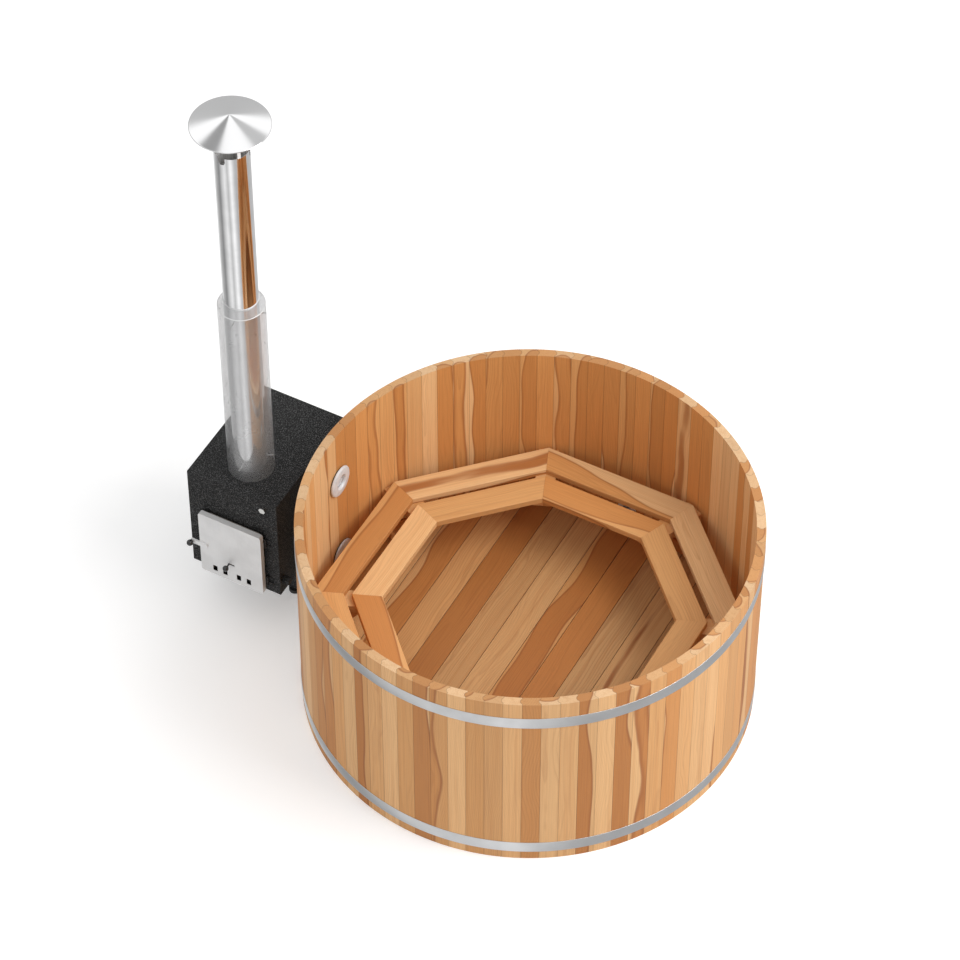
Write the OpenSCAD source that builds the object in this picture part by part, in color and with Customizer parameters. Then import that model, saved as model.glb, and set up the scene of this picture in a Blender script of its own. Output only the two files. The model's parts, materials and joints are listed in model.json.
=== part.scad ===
// Wooden hot tub with an external wood-burning stove.
// Millimetres. The origin is on the ground under the middle of the tub, +Z is up,
// and the stove stands on the -X side, so +X runs from the stove to the tub.

/* [Tub wall] */
// Outer radius of the stave wall
tub_r = 1000; // [900:5:1150]
// Height of the staves
tub_h = 1043; // [950:1:1200]
// Thickness of a stave
stave_t = 40; // [36:1:46]
// Number of staves round the tub
stave_n = 80; // [72:1:88]
// Radius of the bead along one edge of a stave
bead_r = 14; // [11:0.5:16]
// How far the bead stands out of its stave
bead_out = 9; // [6:0.5:10]

/* [Hoops] */
// Width of a steel hoop
hoop_w = 62; // [40:1:80]
// Thickness of a steel hoop
hoop_t = 2; // [1.5:0.5:3]
// Height of the lower hoop's bottom edge
hoop_low_z = 48; // [20:1:60]
// Distance from the upper hoop's top edge to the rim
hoop_top_drop = 88; // [60:1:140]

/* [Floor] */
// Height of the floor bearers
bearer_h = 65; // [50:1:80]
// Width of a floor bearer
bearer_w = 95; // [70:1:120]
// Distance between floor bearers
bearer_pitch = 560; // [450:5:600]
// Thickness of the floor boards
floor_t = 40; // [32:1:48]
// Number of floor boards across the tub
floor_n = 15; // [13:2:17]
// Depth of the groove in the staves that holds the floor
croze_d = 8; // [6:1:12]

/* [Bench] */
// Number of sides of the bench
bench_n = 8; // [6:1:10]
// Height of the bench's top face
bench_z = 465; // [420:1:520]
// Thickness of a bench board
bench_t = 30; // [25:1:38]
// Width of a bench board
bench_board_w = 125; // [100:1:150]
// Gap between the two rings of boards
bench_gap = 33; // [15:1:50]
// Gap from the outer corners of the bench to the wall
bench_clear = 14; // [8:1:30]
// Width of a bench bearer
bench_bearer_w = 90; // [60:1:110]
// Height of a bench bearer
bench_bearer_h = 45; // [38:1:60]

/* [Stove box] */
// Width of the stove, across the line to the tub
stove_w = 450; // [420:5:520]
// Depth of the stove, from its door to its back
stove_d = 600; // [560:5:700]
// Height of the stove box
stove_h = 585; // [570:5:700]
// Height of the stove's underside above the ground
stove_z = 218; // [150:1:260]
// Gap between the stove's side and the tub wall
stove_gap = 97; // [90:1:140]
// Sideways offset of the stove's middle from the tub's middle
stove_off = 27; // [0:1:60]
// Thickness of the stove's plates
plate_t = 4; // [3:0.5:6]
// Space for water between the casing and the firebox
jacket = 52; // [44:1:58]
// How far the stand is set back from the stove's front
stand_set = 200; // [180:5:240]

/* [Stove door] */
// Width of the door
door_w = 317; // [300:1:330]
// Height of the door
door_h = 374; // [365:1:400]
// Depth of the folded door pan
door_depth = 25; // [22:1:32]
// Gap behind the door pan
door_gap = 15; // [14:0.5:18]
// Thickness of the door's sheet
door_sheet = 2; // [1.5:0.5:2]
// Corner radius of the door
door_corner = 12; // [6:1:20]
// Width of the fire opening behind the door
mouth_w = 228; // [200:1:232]
// Height of the fire opening behind the door
mouth_h = 320; // [300:1:326]
// Width of an air hole
air_w = 22; // [18:1:24]
// Height of an air hole
air_h = 34; // [26:1:36]
// Distance the air slider travels to close the holes
air_travel = 24; // [22:1:26]
// Radius of the ball on the air slider
air_ball_r = 14; // [12:0.5:16]
// Length of the latch lever from its pivot to its end
lever_len = 71; // [65:1:80]
// Radius of the ball on the latch lever
lever_ball_r = 15; // [12:0.5:17]

/* [Flue] */
// Outer radius of the flue pipe
flue_r = 75; // [65:1:80]
// Height of the flue pipe's top above the ground
flue_top_z = 2711; // [2200:1:2900]
// Distance of the flue's axis behind the stove's front
flue_back = 166; // [150:1:200]
// Outer radius of the perforated heat guard
guard_r = 103; // [96:1:110]
// Height of the heat guard
guard_h = 1009; // [800:1:1100]
// Height of the guard's sloping collar
collar_h = 38; // [25:1:50]
// Radius of the rain cap
cap_r = 168; // [140:1:190]
// Height of the rain cap's brim above the pipe's end
cap_gap = 125; // [80:1:150]
// Rise of the rain cap's cone
cap_rise = 55; // [40:1:80]

/* [Water fittings] */
// Outer radius of a water pipe between stove and tub
pipe_r = 30; // [25:1:34]
// Height of the upper water pipe
pipe_high_z = 757; // [740:1:760]
// Height of the lower water pipe
pipe_low_z = 272; // [265:1:290]
// Radius of the white flange inside the tub
flange_r = 75; // [65:1:80]
// Height of the tub's drain
drain_z = 165; // [160:1:180]
// Outer radius of the drain's hose tail
hose_tail_r = 20; // [16:0.5:25]
// Straight length of the drain's hose tail
hose_tail_len = 45; // [35:1:60]

/* [Hidden] */
$fn = 96;
// Facets of the circles as wide as the tub
wide_fn = 256;
// Smallest gap left between pieces that touch
hair = 0.1;
// Gap between neighbours that only rest side by side
fit = 0.3;
// Radial clearance of a pin in its bore
running = 0.05;
stave_pitch = 360 / stave_n;
// Angle of the first stave's middle
stave_phase = 1.34;
inner_r = tub_r - stave_t;
bead_mid_r = tub_r - stave_t / 2;
floor_z = bearer_h;
floor_top = floor_z + floor_t;
floor_r = inner_r + croze_d - 0.5;
floor_pitch = 2 * floor_r / floor_n;
tongue = 8;
bench_turn = 360 / bench_n;
bench_a4 = (inner_r - bench_clear) * cos(bench_turn / 2);
bench_a3 = bench_a4 - bench_board_w;
bench_a2 = bench_a3 - bench_gap;
bench_a1 = bench_a2 - bench_board_w;
bench_under = bench_z - bench_t;
bench_foot = bench_under - bench_bearer_h;
bearer_in_r = bench_a1 / cos(bench_turn / 2) + 20;
brace_t = 45;
post_t = 45;
post_foot = floor_top + 25;
screw_r = 2.5;
screw_head_r = 5;
hoop_high_z = tub_h - hoop_top_drop - hoop_w;
hoop_in = tub_r + hair;
hoop_out = hoop_in + hoop_t;
// The hoops close on the far side from the stove door
lug_turn = 118;
lug_gap = 46;
lug_out = 40;
lug_t = 5;
bolt_r = 6;
stove_x1 = -(tub_r + stove_gap);
stove_x0 = stove_x1 - stove_w;
stove_cx = (stove_x0 + stove_x1) / 2;
stove_y0 = stove_off - stove_d / 2;
stove_y1 = stove_off + stove_d / 2;
stove_top_z = stove_z + stove_h;
fire_x0 = stove_x0 + plate_t + jacket;
fire_x1 = stove_x1 - plate_t - jacket;
fire_y0 = stove_y0 + plate_t + hair;
fire_y1 = stove_y1 - plate_t - jacket - 30;
fire_z0 = stove_z + 22;
fire_z1 = stove_top_z - 150;
duct_r = flue_r - 1.3;
duct_in = duct_r - 4;
flue_y = stove_y0 + flue_back;
flue_x = stove_cx + 4;
door_x0 = stove_cx - door_w / 2;
door_x1 = stove_cx + door_w / 2;
door_z0 = stove_z + 8;
door_z1 = door_z0 + door_h;
door_back_y = stove_y0 - door_gap;
door_face_y = door_back_y - door_depth;
door_inside_y = door_face_y + door_sheet;
mouth_cx = stove_cx + 9;
mouth_z0 = door_z0 + 27;
seal_w = 10;
seal_gap = 2;
air_in = 35;
air_out = 86;
air_z = door_z0 + 43;
slider_t = 2;
slider_w = 2 * air_out + air_w + 34;
slider_h = air_h + 12;
knob_x = stove_cx - air_travel / 2;
knob_z = door_z0 + 112;
stem_r = 4;
knob_out = 30;
pivot_x = door_x0 + 31;
pivot_z = door_z0 + 178;
pivot_r = 5;
lever_hw = 12.5;
lever_t = 8;
tongue_t = 5;
hinge_x = door_x1 + 5.5;
hinge_y = door_back_y + door_gap / 2;
knuckle_r = 5.5;
hinge_pin_r = 3;
knuckle_h = 20;
hinge_zs = [door_z0 + 64, door_z0 + 314];
leaf_t = 3;
guard_t = 1.5;
guard_z1 = stove_top_z + guard_h;
cap_z = flue_top_z + cap_gap;
cap_t = 1.5;
leg_strip_t = 2;
slots = 3;
slot_turn = 26;
slot_w = 34;
slot_h = 38;
pipe_wall = 4;
pipe_y = stove_off;
wall_x = -sqrt(tub_r * tub_r - pipe_y * pipe_y);
wall_in_x = -sqrt(inner_r * inner_r - pipe_y * pipe_y);
// Least thickness of the rubber between a flat flange and the curved wall
rubber_t = 1.5;
flange_x = -sqrt(pow(inner_r - rubber_t, 2) - pow(flange_r + pipe_y, 2));
flange_t = 13;
recess_r = flange_r / 2;
plug_x = stove_x1 - 68;
plug_z = stove_top_z - 50;
cock_y = stove_y0 + 33;
cock_z = stove_z + 77;
cock_reach = 16;
drain_r = 25;
drain_out_y = tub_r + 24;
valve_y = tub_r + 74;
valve_r = 30;
ball_r = 21;
stand_x0 = stove_x0 + 45;
stand_x1 = stove_x1 - 45;
stand_y0 = stove_y0 + stand_set;
stand_y1 = stove_y1 - 35;
stand_bar = 30;
foot_h = 20;

wood_light = "#d9a774";
wood_dark = "#9a6238";
steel = "#b9bcc0";
black = "#2b2b2e";
white = "#e6e6e2";

// A box from its lowest to its highest corner
module block(lo, hi) {
    translate(lo) cube(hi - lo);
}

// A ring standing on its axis
module ring(r_in, r_out, z0, z1) {
    translate([0, 0, z0]) difference() {
        cylinder(r = r_out, h = z1 - z0);
        translate([0, 0, -1]) cylinder(r = r_in, h = z1 - z0 + 2);
    }
}

// A round bar or a tube along X
module bar_x(r, x0, x1, y, z, r_in = 0) {
    translate([x0, y, z]) rotate([0, 90, 0]) difference() {
        cylinder(r = r, h = x1 - x0);
        if (r_in > 0) translate([0, 0, -1]) cylinder(r = r_in, h = x1 - x0 + 2);
    }
}

// A round bar or a tube along Y
module bar_y(r, y0, y1, x, z, r_in = 0) {
    translate([x, y0, z]) rotate([-90, 0, 0]) difference() {
        cylinder(r = r, h = y1 - y0);
        if (r_in > 0) translate([0, 0, -1]) cylinder(r = r_in, h = y1 - y0 + 2);
    }
}

// A flat wedge about +X, drawn in by half of a gap on both sides
module wedge(turn, gap, reach) {
    shift = gap / 2 / sin(turn / 2);
    polygon([
        [shift, 0],
        [reach * cos(turn / 2), -reach * sin(turn / 2) + gap / 2],
        [reach * cos(turn / 2), reach * sin(turn / 2) - gap / 2]
    ]);
}

// A rectangle with round corners, standing in the XZ plane and as deep as y0 to y1
module panel(x0, x1, z0, z1, y0, y1, r) {
    translate([0, y1, 0]) rotate([90, 0, 0]) linear_extrude(y1 - y0) {
        translate([x0 + r, z0]) square([x1 - x0 - 2 * r, z1 - z0]);
        translate([x0, z0 + r]) square([x1 - x0, z1 - z0 - 2 * r]);
        for (x = [x0 + r, x1 - r], z = [z0 + r, z1 - r]) translate([x, z]) circle(r = r);
    }
}

// ---- Tub wall ----

// The bore through the wall for a water pipe or for the drain
module wall_bores() {
    for (z = [pipe_low_z, pipe_high_z]) bar_x(pipe_r + fit, -tub_r - 50, -inner_r + 80, pipe_y, z);
    bar_y(drain_r + fit, inner_r - 60, tub_r + 50, 0, drain_z);
}

module stave_section() {
    edge = asin(bead_out / 2 / bead_mid_r);
    bead = stave_pitch / 2 - atan((bead_r - bead_out) / bead_mid_r);
    difference() {
        union() {
            intersection() {
                difference() {
                    circle(r = tub_r, $fn = wide_fn);
                    circle(r = inner_r, $fn = wide_fn);
                }
                wedge(stave_pitch, hair, tub_r * 1.1);
            }
            rotate(-bead) translate([bead_mid_r, 0]) circle(r = bead_r);
        }
        rotate(stave_pitch - bead) translate([bead_mid_r, 0]) circle(r = bead_r + hair);
    }
}

module stave(turn) {
    difference() {
        rotate(turn) linear_extrude(tub_h) stave_section();
        translate([0, 0, floor_z - hair])
            cylinder(r = inner_r + croze_d, h = floor_t + 2 * hair, $fn = wide_fn);
    }
}

function stave_turn(i) = stave_phase + i * stave_pitch;

// Whether a bore of radius r round the wall at angle mid cuts into the stave at angle turn
function meets(turn, mid, r) = abs(turn - mid) < stave_pitch / 2 + asin((r + bead_out) / inner_r);

function is_bored(turn) = meets(turn, 180 - asin(pipe_y / inner_r), pipe_r + fit) || meets(turn, 90, drain_r + fit);

module staves() {
    color(wood_light) for (i = [0 : stave_n - 1]) if (!is_bored(stave_turn(i))) stave(stave_turn(i));
}

module bored_staves() {
    color(wood_light) difference() {
        for (i = [0 : stave_n - 1]) if (is_bored(stave_turn(i))) stave(stave_turn(i));
        wall_bores();
    }
}

// ---- Floor ----

// A tongued and grooved board's section, its tongue towards +X
module floor_section() {
    top = floor_t;
    mid = floor_t / 2;
    w = floor_pitch - hair;
    bevel = 1.5;
    polygon([
        [0, 0], [w, 0],
        [w, mid - tongue / 2], [w + tongue - 0.5, mid - tongue / 2],
        [w + tongue - 0.5, mid + tongue / 2], [w, mid + tongue / 2],
        [w, top - bevel], [w - bevel, top], [bevel, top], [0, top - bevel],
        [0, mid + tongue / 2 + 0.2], [tongue, mid + tongue / 2 + 0.2],
        [tongue, mid - tongue / 2 - 0.2], [0, mid - tongue / 2 - 0.2]
    ]);
}

module floor_boards() {
    color(wood_light) for (i = [0 : floor_n - 1]) intersection() {
        translate([-floor_r + i * floor_pitch, floor_r, floor_z]) rotate([90, 0, 0])
            linear_extrude(2 * floor_r) floor_section();
        cylinder(r = floor_r, h = floor_top + 10, $fn = wide_fn);
    }
}

module floor_bearers() {
    color(wood_dark) for (k = [-1 : 1]) intersection() {
        translate([-tub_r, k * bearer_pitch - bearer_w / 2, 0])
            cube([2 * tub_r, bearer_w, bearer_h - hair]);
        cylinder(r = inner_r - 1, h = bearer_h, $fn = wide_fn);
    }
}

// ---- Hoops ----

module hoop_at(z) {
    gap_turn = lug_gap / hoop_in * 180 / PI;
    rotate(lug_turn + gap_turn / 2) translate([0, 0, z])
        rotate_extrude(angle = 360 - gap_turn, $fn = wide_fn)
            translate([hoop_in, 0]) square([hoop_t, hoop_w]);
}

module hoops() {
    color(steel) for (z = [hoop_low_z, hoop_high_z]) hoop_at(z);
}

// The bolts draw the two lugs of each hoop together
module at_lugs() {
    for (z = [hoop_low_z, hoop_high_z]) translate([0, 0, z + hoop_w / 2]) rotate(lug_turn) children();
}

module hoop_lugs() {
    foot = 34;
    color(steel) at_lugs() for (side = [-1, 1]) difference() {
        union() {
            translate([hoop_out + hair, side > 0 ? lug_gap / 2 : -lug_gap / 2 - lug_t, -hoop_w / 2 + 6])
                cube([lug_out, lug_t, hoop_w - 12]);
            translate([hoop_out - 3, side > 0 ? lug_gap / 2 : -lug_gap / 2 - foot, -hoop_w / 2 + 6])
                cube([lug_t + 3, foot, hoop_w - 12]);
        }
        translate([0, 0, -hoop_w]) cylinder(r = hoop_out + hair, h = 2 * hoop_w, $fn = wide_fn);
        bar_y(bolt_r + 0.5, -100, 100, hoop_out + lug_out - 16, 0);
    }
}

module hoop_bolts() {
    nut_h = 10;
    x = hoop_out + lug_out - 16;
    shank = lug_gap + 2 * lug_t + 2 * nut_h + 6;
    color(steel) at_lugs() {
        bar_y(bolt_r, -shank / 2, shank / 2, x, 0);
        for (side = [-1, 1])
            translate([x, side * (lug_gap / 2 + lug_t + hair) + (side < 0 ? -nut_h : 0), 0])
                rotate([-90, 0, 0]) cylinder(r = 11, h = nut_h, $fn = 6);
    }
}

// ---- Bench ----

module bench_section(a0, a1) {
    round = 4;
    translate([a0, bench_under]) {
        square([a1 - a0, bench_t - round]);
        translate([round, 0]) square([a1 - a0 - 2 * round, bench_t]);
        for (x = [round, a1 - a0 - round]) translate([x, bench_t - round]) circle(r = round);
    }
}

// Places for the screws that hold the boards' mitred ends down on a bearer
module at_screws(r) {
    for (k = [0 : bench_n - 1], side = [-1, 1])
        rotate((k + 0.5) * bench_turn) translate([r, side * 10, 0]) children();
}

module bench_ring(a0, a1) {
    mitre_gap = 0.5;
    difference() {
        for (k = [0 : bench_n - 1]) rotate(k * bench_turn) intersection() {
            translate([0, a1, 0]) rotate([90, 0, 0]) linear_extrude(2 * a1) bench_section(a0, a1);
            linear_extrude(bench_z + 10) wedge(bench_turn, mitre_gap, a1 * 1.3);
        }
        at_screws((a0 + a1) / 2 / cos(bench_turn / 2)) cylinder(r = screw_r + hair, h = bench_z - 8);
    }
}

module bench_outer_boards() {
    color(wood_light) bench_ring(bench_a3, bench_a4);
}

module bench_inner_boards() {
    color(wood_light) bench_ring(bench_a1, bench_a2);
}

module bench_bearers() {
    color(wood_dark) difference() {
        for (k = [0 : bench_n - 1]) intersection() {
            rotate((k + 0.5) * bench_turn) translate([bearer_in_r, -bench_bearer_w / 2, bench_foot])
                cube([tub_r, bench_bearer_w, bench_bearer_h - hair]);
            cylinder(r = inner_r - 0.5, h = bench_z, $fn = wide_fn);
        }
        for (r = [bench_a1 + bench_a2, bench_a3 + bench_a4])
            at_screws(r / 2 / cos(bench_turn / 2)) translate([0, 0, bench_foot - 1]) {
                cylinder(r = screw_r + hair, h = bench_bearer_h + 2);
                cylinder(r = screw_head_r + hair, h = 5);
            }
    }
}

// Sloping braces that carry the bearers' inner ends from the foot of the posts
module bench_braces() {
    r0 = bearer_in_r + 60;
    r1 = inner_r - post_t - hair;
    z0 = post_foot + 25;
    z1 = bench_foot - hair;
    slope = atan2(z1 - z0, r1 - r0);
    color(wood_dark) for (k = [0 : bench_n - 1])
        rotate((k + 0.5) * bench_turn) rotate([90, 0, 0]) linear_extrude(brace_t, center = true)
            polygon([[r0, z1], [r1, z0], [r1, z0 + brace_t / cos(slope)], [r0 + brace_t / sin(slope), z1]]);
}

// Posts against the wall, under the bearers' outer ends
module bench_posts() {
    color(wood_dark) for (k = [0 : bench_n - 1]) intersection() {
        rotate((k + 0.5) * bench_turn) translate([inner_r - post_t, -bench_bearer_w / 2, post_foot])
            cube([tub_r, bench_bearer_w, bench_foot - post_foot - hair]);
        cylinder(r = inner_r - 0.5, h = bench_z, $fn = wide_fn);
    }
}

module bench_screws() {
    color(steel) for (r = [bench_a1 + bench_a2, bench_a3 + bench_a4])
        at_screws(r / 2 / cos(bench_turn / 2)) translate([0, 0, bench_foot]) {
            cylinder(r = screw_r, h = bench_z - 10 - bench_foot);
            cylinder(r = screw_head_r, h = 3.5);
        }
}

// ---- Water pipes between the stove and the tub ----

module at_pipes() {
    for (z = [pipe_low_z, pipe_high_z]) translate([0, pipe_y, z]) children();
}

// White moulded flange inside the tub, its face dished round a recess
module wall_flanges() {
    color(white) at_pipes() translate([flange_x, 0, 0]) rotate([0, 90, 0]) rotate_extrude()
        polygon([
            [pipe_r + fit, 0], [flange_r, 0], [flange_r, 6], [flange_r - 5, 10.5],
            [recess_r + 10, flange_t], [recess_r, flange_t], [pipe_r + fit, 4]
        ]);
}

// Round grille across the end of each water pipe
module flange_strainers() {
    hole_pitch = 11;
    color(white) at_pipes() translate([flange_x - 6, 0, 0]) rotate([0, 90, 0]) difference() {
        cylinder(r = pipe_r - pipe_wall - hair, h = 4);
        for (i = [-2 : 2], j = [-2 : 2]) if (i * i + j * j < 5)
            translate([i * hole_pitch * 0.9, j * hole_pitch * 0.9, -1]) cylinder(r = 3.2, h = 6);
    }
}

// Rubber between the flat back of a flange and the curved inside of the wall
module inner_gaskets() {
    color(black) intersection() {
        at_pipes() bar_x(flange_r - 8, wall_in_x - 20, flange_x - hair, 0, 0, r_in = pipe_r + fit);
        cylinder(r = inner_r - hair, h = tub_h, $fn = wide_fn);
    }
}

// Rubber saddle between the curved outside of the wall and the nut
module outer_gaskets() {
    color(black) difference() {
        at_pipes() bar_x(52, wall_x - 9, wall_x + 20, 0, 0, r_in = pipe_r + fit);
        cylinder(r = tub_r + hair, h = tub_h, $fn = wide_fn);
    }
}

// Lobed plastic nut that draws the flange against the wall
module pipe_nuts() {
    lobes = 8;
    color(white) at_pipes() translate([wall_x - 9 - hair - 18, 0, 0]) rotate([0, 90, 0]) difference() {
        union() {
            cylinder(r = 46, h = 18);
            for (k = [0 : lobes - 1]) rotate(k * 360 / lobes) translate([45, 0, 0]) cylinder(r = 6, h = 18);
        }
        translate([0, 0, -1]) cylinder(r = pipe_r + hair, h = 20);
    }
}

module water_pipes() {
    color(steel) at_pipes()
        bar_x(pipe_r, stove_x1 - plate_t, flange_x + 3, 0, 0, r_in = pipe_r - pipe_wall);
}

// Welded ring where a water pipe leaves the stove
module pipe_bosses() {
    color(black) at_pipes() bar_x(44, stove_x1 + hair, stove_x1 + 12, 0, 0, r_in = pipe_r + hair);
}

// ---- Tub drain, on the far side from the photographed side ----

module drain_flange() {
    lip_y = sqrt(pow(inner_r - fit, 2) - 45 * 45);
    color(white) translate([0, 0, drain_z]) {
        bar_y(45, lip_y - 9, lip_y - 3, 0, 0, r_in = drain_r - 4);
        bar_y(drain_r, lip_y - 4, drain_out_y + 20, 0, 0, r_in = drain_r - 4);
    }
}

module drain_gaskets() {
    lip_y = sqrt(pow(inner_r - fit, 2) - 45 * 45);
    color(black) {
        intersection() {
            bar_y(40, lip_y - 3 + hair, inner_r + 10, 0, drain_z, r_in = drain_r + fit);
            cylinder(r = inner_r - hair, h = tub_h, $fn = wide_fn);
        }
        difference() {
            bar_y(40, tub_r - 20, tub_r + 6, 0, drain_z, r_in = drain_r + fit);
            cylinder(r = tub_r + hair, h = tub_h, $fn = wide_fn);
        }
    }
}

module drain_nut() {
    color(white) translate([0, tub_r + 6 + hair, drain_z]) rotate([-90, 0, 0]) difference() {
        cylinder(r = 38, h = 14, $fn = 6);
        translate([0, 0, -1]) cylinder(r = drain_r + hair, h = 16);
    }
}

module drain_valve() {
    body_y0 = tub_r + 22;
    body_y1 = valve_y + 34;
    color(white) difference() {
        union() {
            bar_y(valve_r, body_y0, body_y1, 0, drain_z);
            bar_y(hose_tail_r, body_y1 - 1, body_y1 + hose_tail_len, 0, drain_z);
            translate([0, valve_y, drain_z]) cylinder(r = 13, h = valve_r + 9);
        }
        bar_y(drain_r + hair, body_y0 - 1, drain_out_y + 20 + hair, 0, drain_z);
        bar_y(hose_tail_r - 4, body_y0, body_y1 + hose_tail_len + 1, 0, drain_z);
        translate([0, valve_y, drain_z]) sphere(r = ball_r + fit);
        translate([0, valve_y, drain_z]) cylinder(r = 6 + running, h = valve_r + 20);
    }
}

// Ball of the drain valve, its bore across the pipe while the valve is shut
module drain_ball() {
    bore_r = hose_tail_r - 6;
    color(steel) translate([0, valve_y, drain_z]) rotate([0, 90, 0]) rotate_extrude() intersection() {
        circle(r = ball_r);
        translate([bore_r, -ball_r]) square([ball_r, 2 * ball_r]);
    }
}

// Valve lever, shown shut: across the pipe
module drain_lever() {
    lever_z = drain_z + valve_r + 9 + fit;
    color("#b03030") {
        translate([0, valve_y, drain_z + ball_r + hair])
            cylinder(r = 6, h = lever_z - drain_z - ball_r - hair + 1);
        translate([0, valve_y, lever_z]) cylinder(r = 14, h = 9);
        block([0, valve_y - 8, lever_z], [92, valve_y + 8, lever_z + 8]);
        translate([92, valve_y, lever_z]) cylinder(r = 8, h = 8);
    }
}

// ---- Stove box ----

// Side plates and back plate
module stove_casing() {
    z0 = stove_z + plate_t + hair;
    z1 = stove_top_z - plate_t - hair;
    color(black) difference() {
        union() {
            block([stove_x0, stove_y0 + plate_t + hair, z0], [stove_x0 + plate_t, stove_y1, z1]);
            block([stove_x1 - plate_t, stove_y0 + plate_t + hair, z0], [stove_x1, stove_y1, z1]);
            block([stove_x0 + plate_t + hair, stove_y1 - plate_t, z0],
                  [stove_x1 - plate_t - hair, stove_y1, z1]);
        }
        at_pipes() bar_x(pipe_r + hair, stove_x1 - 20, stove_x1 + 20, 0, 0);
        bar_x(8 + running, stove_x1 - 20, stove_x1 + 20, cock_y, cock_z);
    }
}

// The fire opening, through the front plate
module mouth(y0, y1, grow = 0) {
    block([mouth_cx - mouth_w / 2 - grow, y0, mouth_z0 - grow],
          [mouth_cx + mouth_w / 2 + grow, y1, mouth_z0 + mouth_h + grow]);
}

module stove_front() {
    color(black) difference() {
        block([stove_x0, stove_y0, stove_z + plate_t + hair],
              [stove_x1, stove_y0 + plate_t, stove_top_z - plate_t - hair]);
        mouth(stove_y0 - 10, stove_y0 + 10);
        bar_y(13 + hair, stove_y0 - 10, stove_y0 + 10, plug_x, plug_z);
    }
}

module stove_top() {
    color(black) difference() {
        block([stove_x0, stove_y0, stove_top_z - plate_t], [stove_x1, stove_y1, stove_top_z]);
        translate([flue_x, flue_y, stove_top_z - 20]) cylinder(r = duct_r + hair, h = 40);
    }
}

module stove_base() {
    color(black) block([stove_x0, stove_y0, stove_z], [stove_x1, stove_y1, stove_z + plate_t]);
}

// Steel frame that carries the stove, set back under it
module stove_stand() {
    gap = 0.2;
    leg_top = stove_z - stand_bar - 2 * gap;
    color(black) {
        for (x = [stand_x0, stand_x1 - stand_bar]) {
            block([x, stand_y0, stove_z - stand_bar - gap], [x + stand_bar, stand_y1, stove_z - gap]);
            for (y = [stand_y0, stand_y1 - stand_bar])
                block([x, y, foot_h], [x + stand_bar, y + stand_bar, leg_top]);
        }
        for (y = [stand_y0, stand_y1 - stand_bar])
            block([stand_x0 + stand_bar + gap, y, stove_z - stand_bar - gap],
                  [stand_x1 - stand_bar - gap, y + stand_bar, stove_z - gap]);
    }
}

module stand_feet() {
    color("#1c1c1c") for (x = [stand_x0, stand_x1 - stand_bar], y = [stand_y0, stand_y1 - stand_bar])
        translate([x + stand_bar / 2, y + stand_bar / 2, 0]) cylinder(r = 28, h = foot_h - hair);
}

// Side, back and bottom plates of the firebox, welded to the front plate
module firebox() {
    gap = hair;
    color("#4a4442") {
        block([fire_x0, fire_y0, fire_z0 + plate_t + gap], [fire_x0 + plate_t, fire_y1, fire_z1]);
        block([fire_x1 - plate_t, fire_y0, fire_z0 + plate_t + gap], [fire_x1, fire_y1, fire_z1]);
        block([fire_x0 + plate_t + gap, fire_y1 - plate_t, fire_z0 + plate_t + gap],
              [fire_x1 - plate_t - gap, fire_y1, fire_z1]);
        block([fire_x0, fire_y0, fire_z0], [fire_x1, fire_y1, fire_z0 + plate_t]);
    }
}

module firebox_roof() {
    color("#4a4442") difference() {
        block([fire_x0, fire_y0, fire_z1 + hair], [fire_x1, fire_y1, fire_z1 + plate_t]);
        translate([flue_x, flue_y, fire_z1 - 10]) cylinder(r = duct_r + hair, h = 30);
    }
}

grate_x0 = fire_x0 + plate_t + 6;
grate_x1 = fire_x1 - plate_t - 6;
grate_y0 = fire_y0 + 40;
grate_y1 = fire_y1 - plate_t - 20;
grate_z = fire_z0 + 46;
grate_t = 12;

module fire_grate() {
    bars = 9;
    step = (grate_x1 - grate_x0 - 24) / bars;
    color("#3b3735") difference() {
        block([grate_x0, grate_y0, grate_z], [grate_x1, grate_y1, grate_z + grate_t]);
        for (i = [0 : bars - 1])
            block([grate_x0 + 18 + i * step, grate_y0 + 16, grate_z - 1],
                  [grate_x0 + 18 + i * step + step / 2, grate_y1 - 16, grate_z + grate_t + 1]);
    }
}

module grate_ledges() {
    color("#4a4442") for (x = [fire_x0 + plate_t + hair, fire_x1 - plate_t - hair - 20])
        block([x, grate_y0, grate_z - 5], [x + 20, grate_y1, grate_z - hair]);
}

// ---- Flue ----

module at_flue() {
    translate([flue_x, flue_y, 0]) children();
}

// Tube from the firebox roof through the water to the flue pipe
module flue_duct() {
    color("#4a4442") at_flue() ring(duct_in, duct_r, fire_z1 + hair, stove_top_z + 55);
}

module flue_pipe() {
    color(steel) at_flue() difference() {
        ring(duct_r + hair, flue_r, stove_top_z + hair, flue_top_z);
        for (k = [0 : slots - 1]) rotate(slot_turn + k * 360 / slots) {
            block([0, -slot_w / 2, flue_top_z - slot_h + slot_w / 2], [flue_r + 10, slot_w / 2, flue_top_z + 1]);
            bar_x(slot_w / 2, 0, flue_r + 10, 0, flue_top_z - slot_h + slot_w / 2);
        }
    }
}

module heat_guard() {
    color("#c9cbcd", 0.6) at_flue() ring(guard_r - guard_t, guard_r, stove_top_z + hair, guard_z1);
}

module guard_collar() {
    inner = flue_r + 1;
    color("#c9cbcd", 0.6) at_flue() rotate_extrude() polygon([
        [guard_r, guard_z1 + hair], [inner + guard_t, guard_z1 + collar_h],
        [inner, guard_z1 + collar_h], [guard_r - guard_t, guard_z1 + hair]
    ]);
}

module guard_spacers() {
    spacers = 3;
    color(steel) at_flue() for (z = [stove_top_z + 60, guard_z1 - 60], k = [0 : spacers - 1])
        rotate(k * 360 / spacers + 30) bar_x(3, flue_r + hair, guard_r - guard_t - hair, 0, z);
}

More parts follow.
